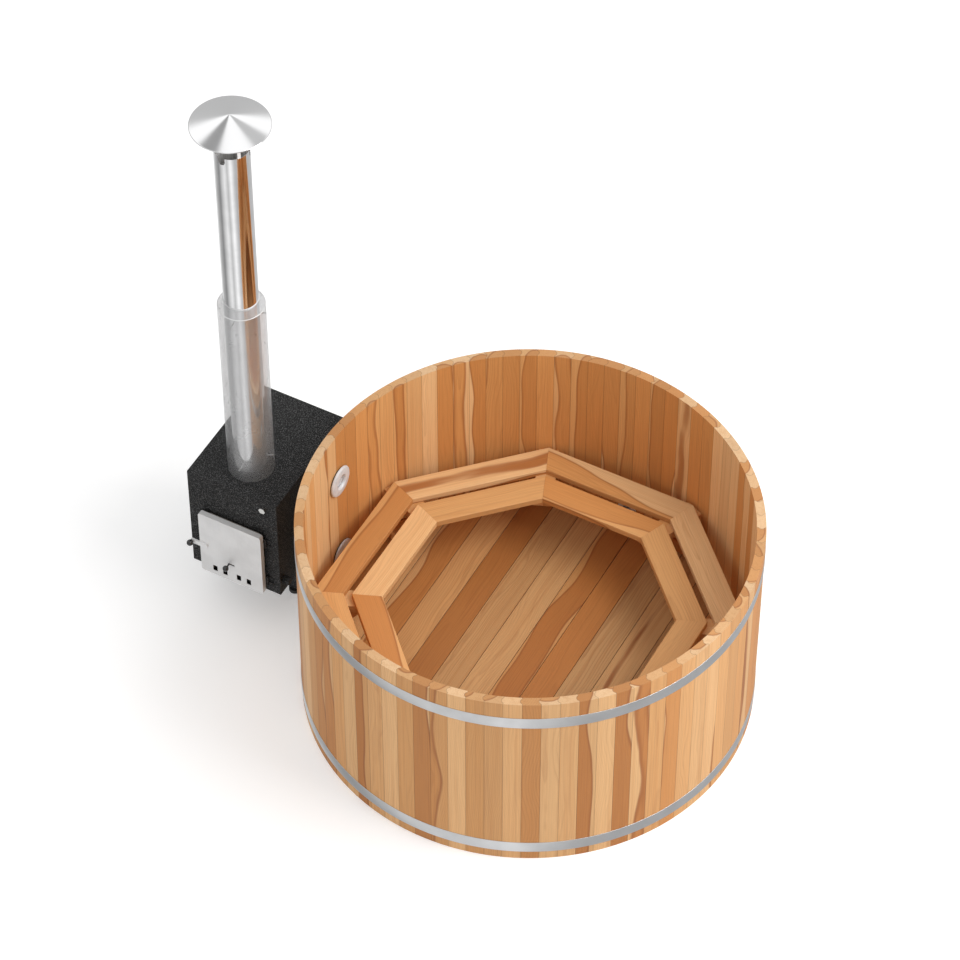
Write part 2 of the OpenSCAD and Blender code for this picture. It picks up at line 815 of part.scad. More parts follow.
module rain_cap() {
    hem = 5;
    color(steel) at_flue() translate([0, 0, cap_z]) rotate_extrude() polygon([
        [0, cap_rise - cap_t], [cap_r - cap_t, 0], [cap_r - cap_t, -hem],
        [cap_r, -hem], [cap_r, cap_t], [0, cap_rise]
    ]);
}

// Curved strips inside the pipe's end that carry the rain cap
module cap_legs() {
    slope = (cap_rise - cap_t) / (cap_r - cap_t);
    strip_out = duct_r + hair - fit;
    strip_turn = 11;
    top = cap_z + (cap_r - cap_t - strip_out) * slope - 0.2;
    color(steel) at_flue() for (k = [0 : slots - 1]) rotate(slot_turn + (k + 0.5) * 360 / slots - strip_turn / 2)
        translate([0, 0, flue_top_z - slot_h]) rotate_extrude(angle = strip_turn)
            translate([strip_out - leg_strip_t, 0]) square([leg_strip_t, top - flue_top_z + slot_h]);
}

// ---- Ports of the water jacket ----

module jacket_plug() {
    head_h = 11;
    color(steel) {
        translate([plug_x, stove_y0 - hair, plug_z]) rotate([90, 0, 0]) cylinder(r = 16.5, h = head_h, $fn = 6);
        bar_y(13, stove_y0 - hair - 1, stove_y0 + 16, plug_x, plug_z);
    }
}

module cock_boss() {
    color(black) bar_x(18, stove_x1 + hair, stove_x1 + cock_reach, cock_y, cock_z, r_in = 8 + running);
}

// Screw-down knob of the stove's drain cock
module cock_knob() {
    lobes = 6;
    x0 = stove_x1 + cock_reach + fit;
    color(black) {
        bar_x(8, stove_x1 - plate_t - 6, x0 + 1, cock_y, cock_z);
        translate([x0, cock_y, cock_z]) rotate([0, 90, 0]) linear_extrude(16) {
            circle(r = 16);
            for (k = [0 : lobes - 1]) rotate(k * 360 / lobes) translate([14.5, 0]) circle(r = 4.5);
        }
    }
}

// ---- Stove door ----

module air_holes(y0, y1, grow = 0) {
    for (dx = [-air_out, -air_in, air_in, air_out])
        block([stove_cx + dx - air_w / 2 - grow, y0, air_z - air_h / 2 - grow],
              [stove_cx + dx + air_w / 2 + grow, y1, air_z + air_h / 2 + grow]);
}

// Folded pan of the door: its face and the four folded sides
module door_pan() {
    s = door_sheet;
    slot_hw = stem_r + 0.6;
    color(steel) difference() {
        panel(door_x0, door_x1, door_z0, door_z1, door_face_y, door_back_y, door_corner);
        panel(door_x0 + s, door_x1 - s, door_z0 + s, door_z1 - s,
              door_inside_y, door_back_y + 1, door_corner - s);
        air_holes(door_face_y - 1, door_inside_y + 1);
        block([knob_x, door_face_y - 1, knob_z - slot_hw],
              [knob_x + air_travel, door_inside_y + 1, knob_z + slot_hw]);
        for (x = [knob_x, knob_x + air_travel])
            bar_y(slot_hw, door_face_y - 1, door_inside_y + 1, x, knob_z);
        bar_y(pivot_r + running, door_face_y - 1, door_inside_y + 1, pivot_x, pivot_z);
    }
}

// Inner plate of the door, with a slot that lets the air through
module door_back() {
    s = door_sheet + hair;
    color("#3a3a3c") difference() {
        panel(door_x0 + s, door_x1 - s, door_z0 + s, door_z1 - s,
              door_back_y - 3, door_back_y, door_corner - s);
        block([stove_cx - air_out - air_w / 2, door_back_y - 4, air_z - air_h / 2],
              [stove_cx + air_out + air_w / 2, door_back_y + 1, air_z + air_h / 2]);
        bar_y(pivot_r + running, door_back_y - 5, door_back_y + 1, pivot_x, pivot_z);
    }
}

// Ceramic board inside the pan, above the air slider
module door_insulation() {
    color("#d8d2c4") block([pivot_x + 14, door_inside_y + 5, knob_z + 20],
                           [door_x1 - 12, door_back_y - 3 - hair, door_z1 - 12]);
}

// Rope seal that closes the door on the front plate
module door_seal() {
    y0 = door_back_y + hair;
    y1 = stove_y0 - fit;
    color("#8d8a84") difference() {
        mouth(y0, y1, grow = seal_gap + seal_w);
        mouth(y0 - 1, y1 + 1, grow = seal_gap);
    }
}

// Rails that hold the air slider against the face
module slider_rails() {
    x0 = stove_cx - slider_w / 2 - air_travel / 2;
    x1 = stove_cx + slider_w / 2 + air_travel / 2;
    lip = slider_t + 2 * fit;
    y0 = door_inside_y + hair;
    color(steel) {
        for (low = [true, false]) {
            edge = low ? air_z - slider_h / 2 - fit : air_z + slider_h / 2 + fit;
            out = low ? edge - 4 : edge + 4;
            in = low ? edge + 4 : edge - 4;
            difference() {
                block([x0, y0, min(out, in)], [x1, y0 + lip + 2, max(out, in)]);
                block([x0 - 1, y0 - 1, min(edge, in) - 0.01], [x1 + 1, y0 + lip, max(edge, in) + 0.01]);
                block([knob_x - 14, y0 - 1, edge - (low ? -5 : 5)],
                      [knob_x + air_travel + 14, y0 + lip, edge + (low ? 0 : 5)]);
            }
        }
    }
}

// Sliding plate with four holes and a tab that carries the knob
module air_slider() {
    y0 = door_inside_y + fit;
    shift = -air_travel / 2;
    color(steel) difference() {
        union() {
            block([stove_cx - slider_w / 2 + shift, y0, air_z - slider_h / 2],
                  [stove_cx + slider_w / 2 + shift, y0 + slider_t, air_z + slider_h / 2]);
            block([knob_x - 9, y0, air_z], [knob_x + 9, y0 + slider_t, knob_z + 8]);
        }
        air_holes(y0 - 1, y0 + slider_t + 1);
    }
}

module air_knob() {
    ball_y = door_face_y - knob_out;
    color(black) {
        bar_y(stem_r, ball_y, door_inside_y + fit - hair, knob_x, knob_z);
        translate([knob_x, ball_y, knob_z]) sphere(r = air_ball_r);
    }
}

// ---- Hinges ----

// Every hinge has a middle knuckle on the door and two on the stove
module door_hinges() {
    leaf_w = 26;
    y0 = door_back_y + hair;
    color(steel) for (z = hinge_zs) difference() {
        union() {
            translate([hinge_x, hinge_y, z - knuckle_h / 2]) cylinder(r = knuckle_r, h = knuckle_h);
            block([hinge_x - leaf_w, y0, z - knuckle_h / 2], [hinge_x, y0 + leaf_t, z + knuckle_h / 2]);
        }
        translate([hinge_x, hinge_y, z - knuckle_h]) cylinder(r = hinge_pin_r + running, h = 2 * knuckle_h);
    }
}

module frame_hinges() {
    leaf_w = 28;
    h = 16;
    y1 = stove_y0 - hair;
    color(black) for (z = hinge_zs, side = [-1, 1]) {
        z0 = side > 0 ? z + knuckle_h / 2 + fit : z - knuckle_h / 2 - fit - h;
        difference() {
            union() {
                translate([hinge_x, hinge_y, z0]) cylinder(r = knuckle_r, h = h);
                block([hinge_x, y1 - leaf_t, z0], [hinge_x + leaf_w, y1, z0 + h]);
            }
            translate([hinge_x, hinge_y, z0 - 1]) cylinder(r = hinge_pin_r, h = h + 2);
        }
    }
}

module hinge_pins() {
    reach = knuckle_h / 2 + fit + 16;
    color(steel) for (z = hinge_zs) translate([hinge_x, hinge_y, z - reach]) {
        cylinder(r = hinge_pin_r, h = 2 * reach);
        translate([0, 0, 2 * reach]) cylinder(r = 4.5, h = 2.5);
    }
}

// ---- Latch ----

// Flat lever on the door's face
module latch_lever() {
    y0 = door_face_y - fit - lever_t;
    color(steel) {
        bar_y(lever_hw, y0, y0 + lever_t, pivot_x, pivot_z);
        block([pivot_x - lever_len, y0, pivot_z - lever_hw], [pivot_x, y0 + lever_t, pivot_z + lever_hw]);
    }
}

module latch_ball() {
    y_face = door_face_y - fit - lever_t;
    x = pivot_x - lever_len + 2;
    ball_y = y_face - lever_ball_r + 1;
    color(black) translate([x, ball_y, pivot_z]) rotate([-90, 0, 0]) rotate_extrude() intersection() {
        circle(r = lever_ball_r);
        translate([0, -lever_ball_r]) square([lever_ball_r, 2 * lever_ball_r - 1 - hair]);
    }
}

// Spindle through the door with the tongue behind it
module latch_tongue() {
    y0 = door_back_y + 2;
    color(steel) {
        bar_y(pivot_r, door_face_y - fit + hair, y0 + tongue_t, pivot_x, pivot_z);
        bar_y(9, y0, y0 + tongue_t, pivot_x, pivot_z);
        block([pivot_x - lever_len + 8, y0, pivot_z - 9], [pivot_x, y0 + tongue_t, pivot_z + 9]);
    }
}

// Ledge on the stove's front that the shut latch rests on
module latch_rest() {
    x0 = pivot_x - lever_len + 6;
    color(black) {
        block([x0, door_back_y + 2, pivot_z - 9 - fit - 5], [x0 + 20, stove_y0 - hair, pivot_z - 9 - fit]);
        block([x0, stove_y0 - 4, pivot_z - 36], [x0 + 20, stove_y0 - hair, pivot_z - 12]);
    }
}

staves();
bored_staves();
floor_boards();
floor_bearers();
hoops();
hoop_lugs();
hoop_bolts();
bench_outer_boards();
bench_inner_boards();
bench_bearers();
bench_braces();
bench_posts();
bench_screws();
wall_flanges();
flange_strainers();
inner_gaskets();
outer_gaskets();
pipe_nuts();
water_pipes();
pipe_bosses();
drain_flange();
drain_gaskets();
drain_nut();
drain_valve();
drain_ball();
drain_lever();
stove_casing();
stove_front();
stove_top();
stove_base();
stove_stand();
stand_feet();
firebox();
firebox_roof();
fire_grate();
grate_ledges();
flue_duct();
flue_pipe();
heat_guard();
guard_collar();
guard_spacers();
rain_cap();
cap_legs();
jacket_plug();
cock_boss();
cock_knob();
door_pan();
door_back();
door_insulation();
door_seal();
slider_rails();
door_hinges();
frame_hinges();
hinge_pins();
latch_lever();
latch_ball();
latch_tongue();
latch_rest();
air_slider();
air_knob();
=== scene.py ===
"""Looks of a stave-built hot tub and its wood stove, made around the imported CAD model.

Every length is in metres. The origin is on the ground under the middle of the tub, +Z is up,
and the stove stands on the -X side.
"""
import functools
import json
import math

import bmesh
import bpy
import numpy as np
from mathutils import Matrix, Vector

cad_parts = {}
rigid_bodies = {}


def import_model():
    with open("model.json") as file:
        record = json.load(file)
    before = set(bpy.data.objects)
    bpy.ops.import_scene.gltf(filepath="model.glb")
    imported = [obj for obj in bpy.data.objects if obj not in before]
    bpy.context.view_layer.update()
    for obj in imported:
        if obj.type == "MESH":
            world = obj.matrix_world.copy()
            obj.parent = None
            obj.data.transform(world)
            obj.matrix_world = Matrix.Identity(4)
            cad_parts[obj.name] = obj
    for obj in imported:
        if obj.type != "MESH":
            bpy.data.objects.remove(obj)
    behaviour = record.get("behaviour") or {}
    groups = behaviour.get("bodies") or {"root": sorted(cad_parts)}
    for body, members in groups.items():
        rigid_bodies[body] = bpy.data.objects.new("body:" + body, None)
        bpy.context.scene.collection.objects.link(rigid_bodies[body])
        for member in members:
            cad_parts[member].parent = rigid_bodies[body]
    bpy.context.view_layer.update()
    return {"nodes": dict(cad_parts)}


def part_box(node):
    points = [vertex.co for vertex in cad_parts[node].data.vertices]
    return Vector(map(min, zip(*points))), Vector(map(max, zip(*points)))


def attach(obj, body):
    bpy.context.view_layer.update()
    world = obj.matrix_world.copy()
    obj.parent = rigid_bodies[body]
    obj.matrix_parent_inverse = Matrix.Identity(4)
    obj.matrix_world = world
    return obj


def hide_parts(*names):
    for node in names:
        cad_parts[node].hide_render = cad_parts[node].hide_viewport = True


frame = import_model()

bl_info = {
    "name": "Hot tub",
    "version": (1, 0, 0),
    "blender": (4, 5, 0),
    "location": "3D View > Sidebar > Hot tub",
    "description": "Finishes and turned, drawn and folded pieces of a wooden hot tub with a stove",
    "category": "Object",
}

NODES = frame["nodes"]
TURN = 2 * math.pi
UP = np.array([0, 0, 1.0])

# Places in the CAD model that the wood's pattern follows
STAVES = 80
STAVE_JOINT = math.radians(-0.91)  # angle of the first joint between two staves
WALL_MIDDLE = 0.98                 # radius of the middle of the wall
WALL_FACE = 0.9605                 # radius just outside the wall's inner face
BEAD_R, BEAD_IN = 0.014, 0.005     # radius of a stave's round edge, and depth of its centre
BEAD_HALF = 0.0131                 # half the width of that round edge at the joint
END_GRAIN = 0.0004                 # depth of the staves' ends that shows their end grain
FLOOR_BOARDS = 15
BENCH_SIDES = 8
BENCH_HEIGHT = 0.45                # height of the middle of the bench boards
BENCH_OUTER_R, BENCH_INNER_R = 0.81, 0.65
FRAME_PARTS = 16                   # bearers, posts and braces are told apart in this many sectors

# First number of each kind of board: it picks the boards' figure and order of pale and brown
FLOOR_FIRST, OUTER_FIRST, INNER_FIRST, FRAME_FIRST = 2088.0, 804.0, 890.0, 500.0


def tone(red, green, blue):
    """A colour given as it looks on screen, 0 to 255, as the linear colour that a shader takes."""
    parts = [n / 255 for n in (red, green, blue)]
    return [p / 12.92 if p <= 0.04045 else ((p + 0.055) / 1.055) ** 2.4 for p in parts] + [1.0]


def grey(level, blue=0.0):
    """A linear grey, with a little more blue where that is given."""
    return [level, level, level + blue, 1]


# ---------------- what a user may change

def paint(name, description, default):
    """A colour to choose."""
    return bpy.props.FloatVectorProperty(
        name=name, description=description, subtype="COLOR", size=4, min=0, max=1, default=default)


def length(name, description, default):
    """A length to choose, from a quarter of its default to four times that."""
    return bpy.props.FloatProperty(
        name=name, description=description, unit="LENGTH", precision=4, min=default / 4,
        max=default * 4, default=default)


class TimberSettings(bpy.types.PropertyGroup):
    """Colours and grain of the wood"""
    sap: paint("Sapwood", "Palest wood", tone(227, 179, 125))
    peach: paint("Peach wood", "Warm pale wood", tone(216, 158, 98))
    heart: paint("Heartwood", "Brown wood near the middle of the tree", tone(192, 125, 66))
    honey: paint("Honey heartwood", "Palest heartwood", tone(208, 145, 84))
    russet: paint("Russet", "Red-brown edge of the heartwood", tone(142, 78, 38))
    ring: length("Ring width", "Usual width of a growth ring", 0.0050)


class MetalSettings(bpy.types.PropertyGroup):
    """Colours of the metal"""
    steel: paint("Steel", "Colour of bare steel", (0.72, 0.72, 0.725, 1))
    guard: paint("Guard", "Colour of the flue's perforated guard", (0.67, 0.67, 0.675, 1))
    cap: paint("Rain cap", "Colour of the rain cap", (0.80, 0.80, 0.805, 1))
    coat: paint("Stove coat", "Colour of the stove's coat", tone(15, 15, 15))
    mesh_open: bpy.props.FloatProperty(
        name="Open part of the guard", description="Share of the guard that is holes",
        default=0.57, min=0.1, max=0.9, subtype="FACTOR")


class ShapeSettings(bpy.types.PropertyGroup):
    """Sizes of the drawn pieces, which follow the CAD pieces that they stand for"""
    hoop_width: length("Hoop width", "Height of a hoop's steel band", 0.062)
    hoop_gauge: length("Hoop thickness", "Thickness of a hoop's steel band", 0.002)
    hoop_gap: length("Hoop gap", "Gap between the ends of a hoop, under its lugs", 0.046)
    board_edge: length("Board edges", "How far the edges of the bench boards are eased", 0.003)
    door_edge: length("Door edges", "How far the edges of the folded door are eased", 0.0028)
    slot_width: length("Flue slot width", "Width of a slot in the flue's upper end", 0.034)
    slot_depth: length("Flue slot depth", "Depth of a slot in the flue's upper end", 0.038)
    hole_pitch: length("Hole pitch", "Distance between the holes of the guard", 0.0026)
    cap_gauge: length("Cap thickness", "Thickness of the rain cap's sheet", 0.0015)


class StageSettings(bpy.types.PropertyGroup):
    """Light and camera"""
    sky: bpy.props.FloatProperty(
        name="Sky", description="Strength of the light from all round", default=0.84, min=0, max=3)
    key: bpy.props.FloatProperty(
        name="Key", description="Power of the large lamp", unit="POWER", default=330, min=0,
        max=4000)
    lens: bpy.props.FloatProperty(
        name="Lens", description="Focal length in millimetres", default=151.8, min=10, max=500)


def settings(group):
    """The settings called timber, metal, shape or stage."""
    return getattr(bpy.context.scene, "hot_tub_" + group)


# ---------------- node trees

class Nodes:
    """A node tree in the making: each method adds one node and gives back its result."""

    def __init__(self, tree):
        self.tree = tree
        self.tree.nodes.clear()

    def join(self, value, socket):
        """Links a node's result to a socket, or sets the socket to a plain value."""
        if isinstance(value, bpy.types.NodeSocket):
            self.tree.links.new(value, socket)
        else:
            socket.default_value = value

    def add(self, kind, inputs=None, **options):
        node = self.tree.nodes.new(kind)
        for key, value in options.items():
            setattr(node, key, value)
        for key, value in (inputs or {}).items():
            self.join(value, node.inputs[key])
        return node

    def do(self, operation, *numbers):
        return self.add("ShaderNodeMath", dict(enumerate(numbers)), operation=operation).outputs[0]

    def plus(self, one, two):
        return self.do("ADD", one, two)

    def minus(self, one, two):
        return self.do("SUBTRACT", one, two)

    def times(self, one, two):
        return self.do("MULTIPLY", one, two)

    def over(self, one, two):
        return self.do("DIVIDE", one, two)

    def move(self, operation, *vectors, scale=None):
        """Vector arithmetic. A length and a dot product are numbers, and all else is a vector."""
        inputs = dict(enumerate(vectors))
        if scale is not None:
            inputs["Scale"] = scale
        node = self.add("ShaderNodeVectorMath", inputs, operation=operation)
        return node.outputs["Value" if operation in ("LENGTH", "DOT_PRODUCT") else 0]

    def split(self, vector):
        return self.add("ShaderNodeSeparateXYZ", {0: vector}).outputs

    def build(self, x=0.0, y=0.0, z=0.0):
        return self.add("ShaderNodeCombineXYZ", {0: x, 1: y, 2: z}).outputs[0]

    def reach(self, x, y):
        """Distance from the axis: the root of x squared plus y squared."""
        return self.move("LENGTH", self.build(x, y, 0.0))

    def noise(self, vector, scale=1.0, detail=2.0, rough=0.5, stretch=None):
        """Noise from 0 to 1, its pattern drawn out along the axes where stretch is small."""
        if stretch:
            vector = self.move("MULTIPLY", vector, stretch)
        inputs = {"Vector": vector, "Scale": scale, "Detail": detail, "Roughness": rough}
        return self.add("ShaderNodeTexNoise", inputs).outputs[0]

    def dice(self, number):
        """Three numbers from 0 to 1 that are always the same for the same number."""
        node = self.add("ShaderNodeTexWhiteNoise", {"W": number}, noise_dimensions="1D")
        return self.add("ShaderNodeSeparateColor", {0: node.outputs["Color"]}).outputs

    def fade(self, value, low, high, bottom=0.0, top=1.0, kind="SMOOTHSTEP"):
        """Goes from bottom, where value is low, to top, where it is high, and is level beyond."""
        inputs = {0: value, 1: low, 2: high, 3: bottom, 4: top}
        return self.add("ShaderNodeMapRange", inputs, interpolation_type=kind).outputs[0]

    def even(self, value, low, high, bottom=0.0, top=1.0):
        """As fade, at a steady rate."""
        return self.fade(value, low, high, bottom, top, "LINEAR")

    def mix(self, share, first, second):
        inputs = {0: share, 6: first, 7: second}
        return self.add("ShaderNodeMix", inputs, data_type="RGBA").outputs[2]

    def ramp(self, value, *stops):
        """A curve through stops, each a place from 0 to 1 and a level of grey there."""
        node = self.add("ShaderNodeValToRGB", {0: value})
        points = node.color_ramp.elements
        while len(points) < len(stops):
            points.new(0.5)
        for point, (where, level) in zip(points, stops):
            point.position = where
            point.color = grey(level)
        return node.outputs[0]


class Finish(Nodes):
    """A material in the making."""

    def __init__(self, name, **look):
        self.material = bpy.data.materials.new(name)
        self.material.use_nodes = True
        super().__init__(self.material.node_tree)
        self.shader = self.add("ShaderNodeBsdfPrincipled")
        self.out = self.add("ShaderNodeOutputMaterial", {"Surface": self.shader.outputs[0]})
        self.place = self.add("ShaderNodeTexCoord").outputs["Object"]
        self.set(**look)

    def set(self, **look):
        """Sets the shader's inputs. coat_weight stands for the input called Coat Weight."""
        for key, value in look.items():
            label = "Specular IOR Level" if key == "gloss" else key.replace("_", " ").title()
            self.join(value, self.shader.inputs[label])

    def bump(self, height, distance, strength):
        """Tells the shader of a small relief: height from 0 to 1, distance its depth in metres."""
        inputs = {"Height": height, "Distance": distance, "Strength": strength}
        self.set(normal=self.add("ShaderNodeBump", inputs).outputs[0])


# ---------------- wood

# The tree's middle line, seen from a board, and how far it and its rings stray
PITH_SPREAD = 0.17             # from the farthest place on one side to that on the other
PITH_DEPTH = (0.028, 0.10)     # behind the board's face
PITH_WANDER = 0.16             # sideways, along the board
RING_RIPPLE = 0.016            # small waves in the rings
HEART_EDGE = (-0.068, 0.066)   # radius of the heartwood, from the ring in the middle of the board

# Patterns per metre across, through and along a board
RIPPLE_GRAIN = (16, 16, 2.6)
FIBRE_GRAIN = (420, 420, 5)
STREAK_GRAIN = (60, 60, 0.8)
THREAD_GRAIN = (190, 190, 1.6)

BOARD_STEP = 3.71              # boards take their noise from places this far apart
MORE_DICE = 137.0              # a board's second three numbers are those of a board this much on

# What multiplies the wood's colour: the staves' inner faces, their end grain, and the boards.
# For the inner faces, the end grain and the bench boards this is painted light: a paler, less
# orange tint than the outer faces get, standing in for how the light falls inside the tub.
INNER_PAINTED_LIGHT, END_PAINTED_LIGHT = (1.17, 1.26, 1.36, 1), (0.92, 1.03, 1.26, 1)
BENCH_PAINTED_LIGHT, FLOOR_TINT, NO_TINT = (1.08, 1.18, 1.29), (0.96, 0.93, 0.87), (1, 1, 1)


def timber(f, across, through, along, number, lean=0.0, rings=1.0, wear=None, tint_and_painted_light=NO_TINT,
           dark=0.89):
    """Sawn wood.

    across, through and along are a point's place in its board, and number says which board. The
    growth rings are circles round the tree's middle line, which lies beside the board and wanders
    a little along it. Inside one ring's radius the wood is heartwood. lean moves that radius,
    rings strengthens the figure, wear is 1 but smaller along seams, tint_and_painted_light
    multiplies the colour (painted light where it makes the staves' inner faces, their end grain
    and the bench boards paler), and dark is the brightness of the darkest board.
    """
    wood = settings("timber")
    sap, peach, heart, honey, russet = (
        list(getattr(wood, name)) for name in ("sap", "peach", "heart", "honey", "russet"))
    first, second, third = f.dice(number)
    fourth, fifth, sixth = f.dice(f.plus(number, MORE_DICE))

    # How far a point lies outside the ring that runs through the middle of its board
    pith_x = f.times(f.minus(first, 0.5), PITH_SPREAD)
    pith_y = f.even(second, 0, 1, *PITH_DEPTH)
    shift = f.times(number, BOARD_STEP)
    slow = f.noise(f.build(f.times(along, 1.5), shift, 0.0), 1.0, 1.0)
    wander = f.times(f.minus(slow, 0.5), PITH_WANDER)
    point = f.build(across, through, f.plus(along, shift))
    ripple = f.times(f.minus(f.noise(point, stretch=RIPPLE_GRAIN), 0.5), RING_RIPPLE)
    side = f.plus(f.minus(across, pith_x), wander)
    radius = f.reach(side, f.plus(through, pith_y))
    ring = f.plus(f.minus(radius, f.reach(pith_x, pith_y)), ripple)

    # Heartwood below its own radius, with a russet line along its edge
    edge = f.plus(f.even(third, 0, 1, *HEART_EDGE), lean)
    past = f.minus(edge, ring)
    core = f.fade(past, -0.0015, 0.0035)
    line = f.times(f.fade(past, -0.003, 0.0012), f.fade(past, 0.0015, 0.009, 1.0, 0.0))

    # Growth rings: slow darkening, then a sharp pale start of the next year
    ring_width = f.even(fourth, 0, 1, wood.ring * 0.7, wood.ring * 1.9)
    year = f.do("FRACT", f.over(f.plus(ring, 1.0), ring_width))
    late = f.ramp(year, (0.0, 0.1), (0.5, 0.12), (0.9, 1.0), (1.0, 0.1))

    fibre = f.noise(point, 1.0, 3.0, 0.6, FIBRE_GRAIN)
    streak = f.noise(point, 1.0, 2.0, 0.55, STREAK_GRAIN)
    thread = f.noise(point, 1.0, 2.0, 0.5, THREAD_GRAIN)
    pale = f.mix(f.fade(fifth, 0.25, 0.85), sap, peach)
    colour = f.mix(core, pale, f.mix(sixth, heart, honey))
    colour = f.mix(f.times(line, 0.6), colour, russet)
    strength = f.times(late, f.even(sixth, 0, 1, 0.12 * rings, 0.34 * rings))
    streaks = f.fade(streak, 0.42, 0.72, 0.0, 0.35 * rings)
    threads = f.fade(thread, 0.50, 0.72, 0.0, 0.26 * rings)
    for share, darker in ((strength, russet), (streaks, heart), (threads, russet)):
        colour = f.mix(share, colour, f.mix(0.6, colour, darker))

    shade = f.times(f.even(fibre, 0.25, 0.75, 0.90, 1.05), f.even(first, 0, 1, dark, 1.04))
    relief = f.plus(f.times(late, 0.35), fibre)
    if wear is not None:
        shade = f.times(shade, wear)
        relief = f.plus(relief, f.times(wear, 4.0))
    # The tint here is painted light for the staves' inner faces, their end grain and the bench
    # boards
    colour = f.move("MULTIPLY", f.move("SCALE", colour, scale=shade), tint_and_painted_light)
    f.set(base_color=colour, roughness=f.even(fibre, 0.2, 0.8, 0.44, 0.60))
    f.bump(relief, 0.0006, 0.5)
    return f.material


def stave_wood():
    """Staves: the angle round the tub says which stave a point is in.

    A stave's round edge reaches past the joint, so a point inside its circle counts to that stave.
    """
    f = Finish("stave_wood", gloss=0.35)
    x, y, z = f.split(f.place)
    radius = f.reach(x, y)
    pitch = TURN / STAVES
    turn = f.over(f.minus(f.do("ARCTAN2", y, x), STAVE_JOINT), pitch)
    part = f.do("FRACT", f.plus(turn, STAVES))
    whole = f.do("FLOOR", turn)
    ahead = f.times(f.times(f.minus(1.0, part), pitch), radius)
    behind = f.times(f.times(part, pitch), radius)
    off = f.minus(radius, WALL_MIDDLE)
    bead = f.reach(f.plus(ahead, BEAD_IN), off)
    number = f.plus(whole, f.do("LESS_THAN", bead, BEAD_R))
    across = f.times(f.times(f.minus(turn, f.plus(number, 0.5)), pitch), radius)
    number = f.do("FLOORED_MODULO", number, float(STAVES))

    # The seam follows the round edge in the middle of the wall, and the joint's plane beside it
    inside = f.do("LESS_THAN", f.do("ABSOLUTE", off), BEAD_HALF)
    at_bead = f.do("ABSOLUTE", f.minus(bead, BEAD_R))
    at_plane = f.do("MINIMUM", ahead, behind)
    gap = f.plus(f.times(inside, at_bead), f.times(f.minus(1.0, inside), at_plane))
    seam = f.fade(gap, 0.0002, 0.0020, 0.62, 1.0)

    # The inner faces and the end grain get painted light: a paler tint than the outer faces get
    inner_face = f.do("LESS_THAN", radius, WALL_FACE)
    tint_and_painted_light = f.mix(inner_face, grey(1), INNER_PAINTED_LIGHT)
    end_grain = f.do("GREATER_THAN", z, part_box("staves")[1][2] - END_GRAIN)
    tint_and_painted_light = f.mix(end_grain, tint_and_painted_light, END_PAINTED_LIGHT)
    return timber(f, across, off, z, number, wear=seam, tint_and_painted_light=tint_and_painted_light)


def floor_wood():
    """Floor boards: they run along Y, and X says which board a point is in."""
    f = Finish("floor_wood", gloss=0.35)
    x, y, z = f.split(f.place)
    low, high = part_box("floor_boards")
    width = (high[0] - low[0]) / FLOOR_BOARDS
    turn = f.over(f.minus(x, low[0]), width)
    number = f.do("FLOOR", turn)
    across = f.times(f.minus(f.minus(turn, number), 0.5), width)
    seam = f.fade(f.minus(width / 2, f.do("ABSOLUTE", across)), 0.0003, 0.0026, 0.40, 1.0)
    return timber(f, across, f.minus(z, high[2]), y, f.plus(number, FLOOR_FIRST), lean=0.006,
                  rings=1.5, wear=seam, tint_and_painted_light=FLOOR_TINT, dark=0.72)


def bench_wood(name, first_number, middle):
    """Bench boards: each eighth of the tub turns the point into its own board's frame."""
    f = Finish(name, gloss=0.35)
    x, y, z = f.split(f.place)
    eighth = TURN / BENCH_SIDES
    turn = f.do("FLOOR", f.over(f.plus(f.do("ARCTAN2", y, x), eighth / 2), eighth))
    angle = f.times(turn, eighth)
    cos, sin = f.do("COSINE", angle), f.do("SINE", angle)
    out = f.plus(f.times(x, cos), f.times(y, sin))
    along = f.minus(f.times(y, cos), f.times(x, sin))
    number = f.plus(f.do("FLOORED_MODULO", turn, float(BENCH_SIDES)), first_number)
    # The boards get painted light: a paler tint, as the staves' inner faces do
    return timber(f, f.minus(out, middle), f.minus(z, BENCH_HEIGHT), along, number, lean=-0.012,
                  tint_and_painted_light=BENCH_PAINTED_LIGHT)


def frame_wood():
    """Bearers, posts and braces: they run outwards, and the angle tells them apart."""
    f = Finish("frame_wood", gloss=0.3)
    x, y, z = f.split(f.place)
    number = f.do("FLOOR", f.over(f.plus(f.do("ARCTAN2", y, x), math.pi), TURN / FRAME_PARTS))
    radius = f.reach(x, y)
    return timber(f, z, f.times(number, 0.01), radius, f.plus(number, FRAME_FIRST), lean=-0.02,
                  rings=1.3)


# ---------------- metal, plastic and rope

def steel(name, roughness, grain, depth=0.00008, colour=None, smear=0.12, metallic=1.0):
    """Bare steel: fine scratches drawn out where grain is small, and a soft cloudiness."""
    bright = colour or list(settings("metal").steel)
    dull = [n * 0.9 for n in bright[:3]] + [1]
    f = Finish(name, metallic=metallic)
    scratch = f.noise(f.place, 1.0, 3.0, 0.65, grain)
    cloud = f.noise(f.place, 9.0, 3.0, 0.5)
    base = f.mix(f.fade(cloud, 0.3, 0.7), bright, dull)
    f.set(base_color=f.move("SCALE", base, scale=f.even(scratch, 0.2, 0.8, 0.93, 1.05)))
    rough = f.even(scratch, 0.2, 0.8, roughness * 0.8, roughness * 1.2)
    f.set(roughness=f.plus(rough, f.fade(cloud, 0.35, 0.75, 0.0, smear * roughness)))
    f.bump(scratch, depth, 0.35)
    return f.material


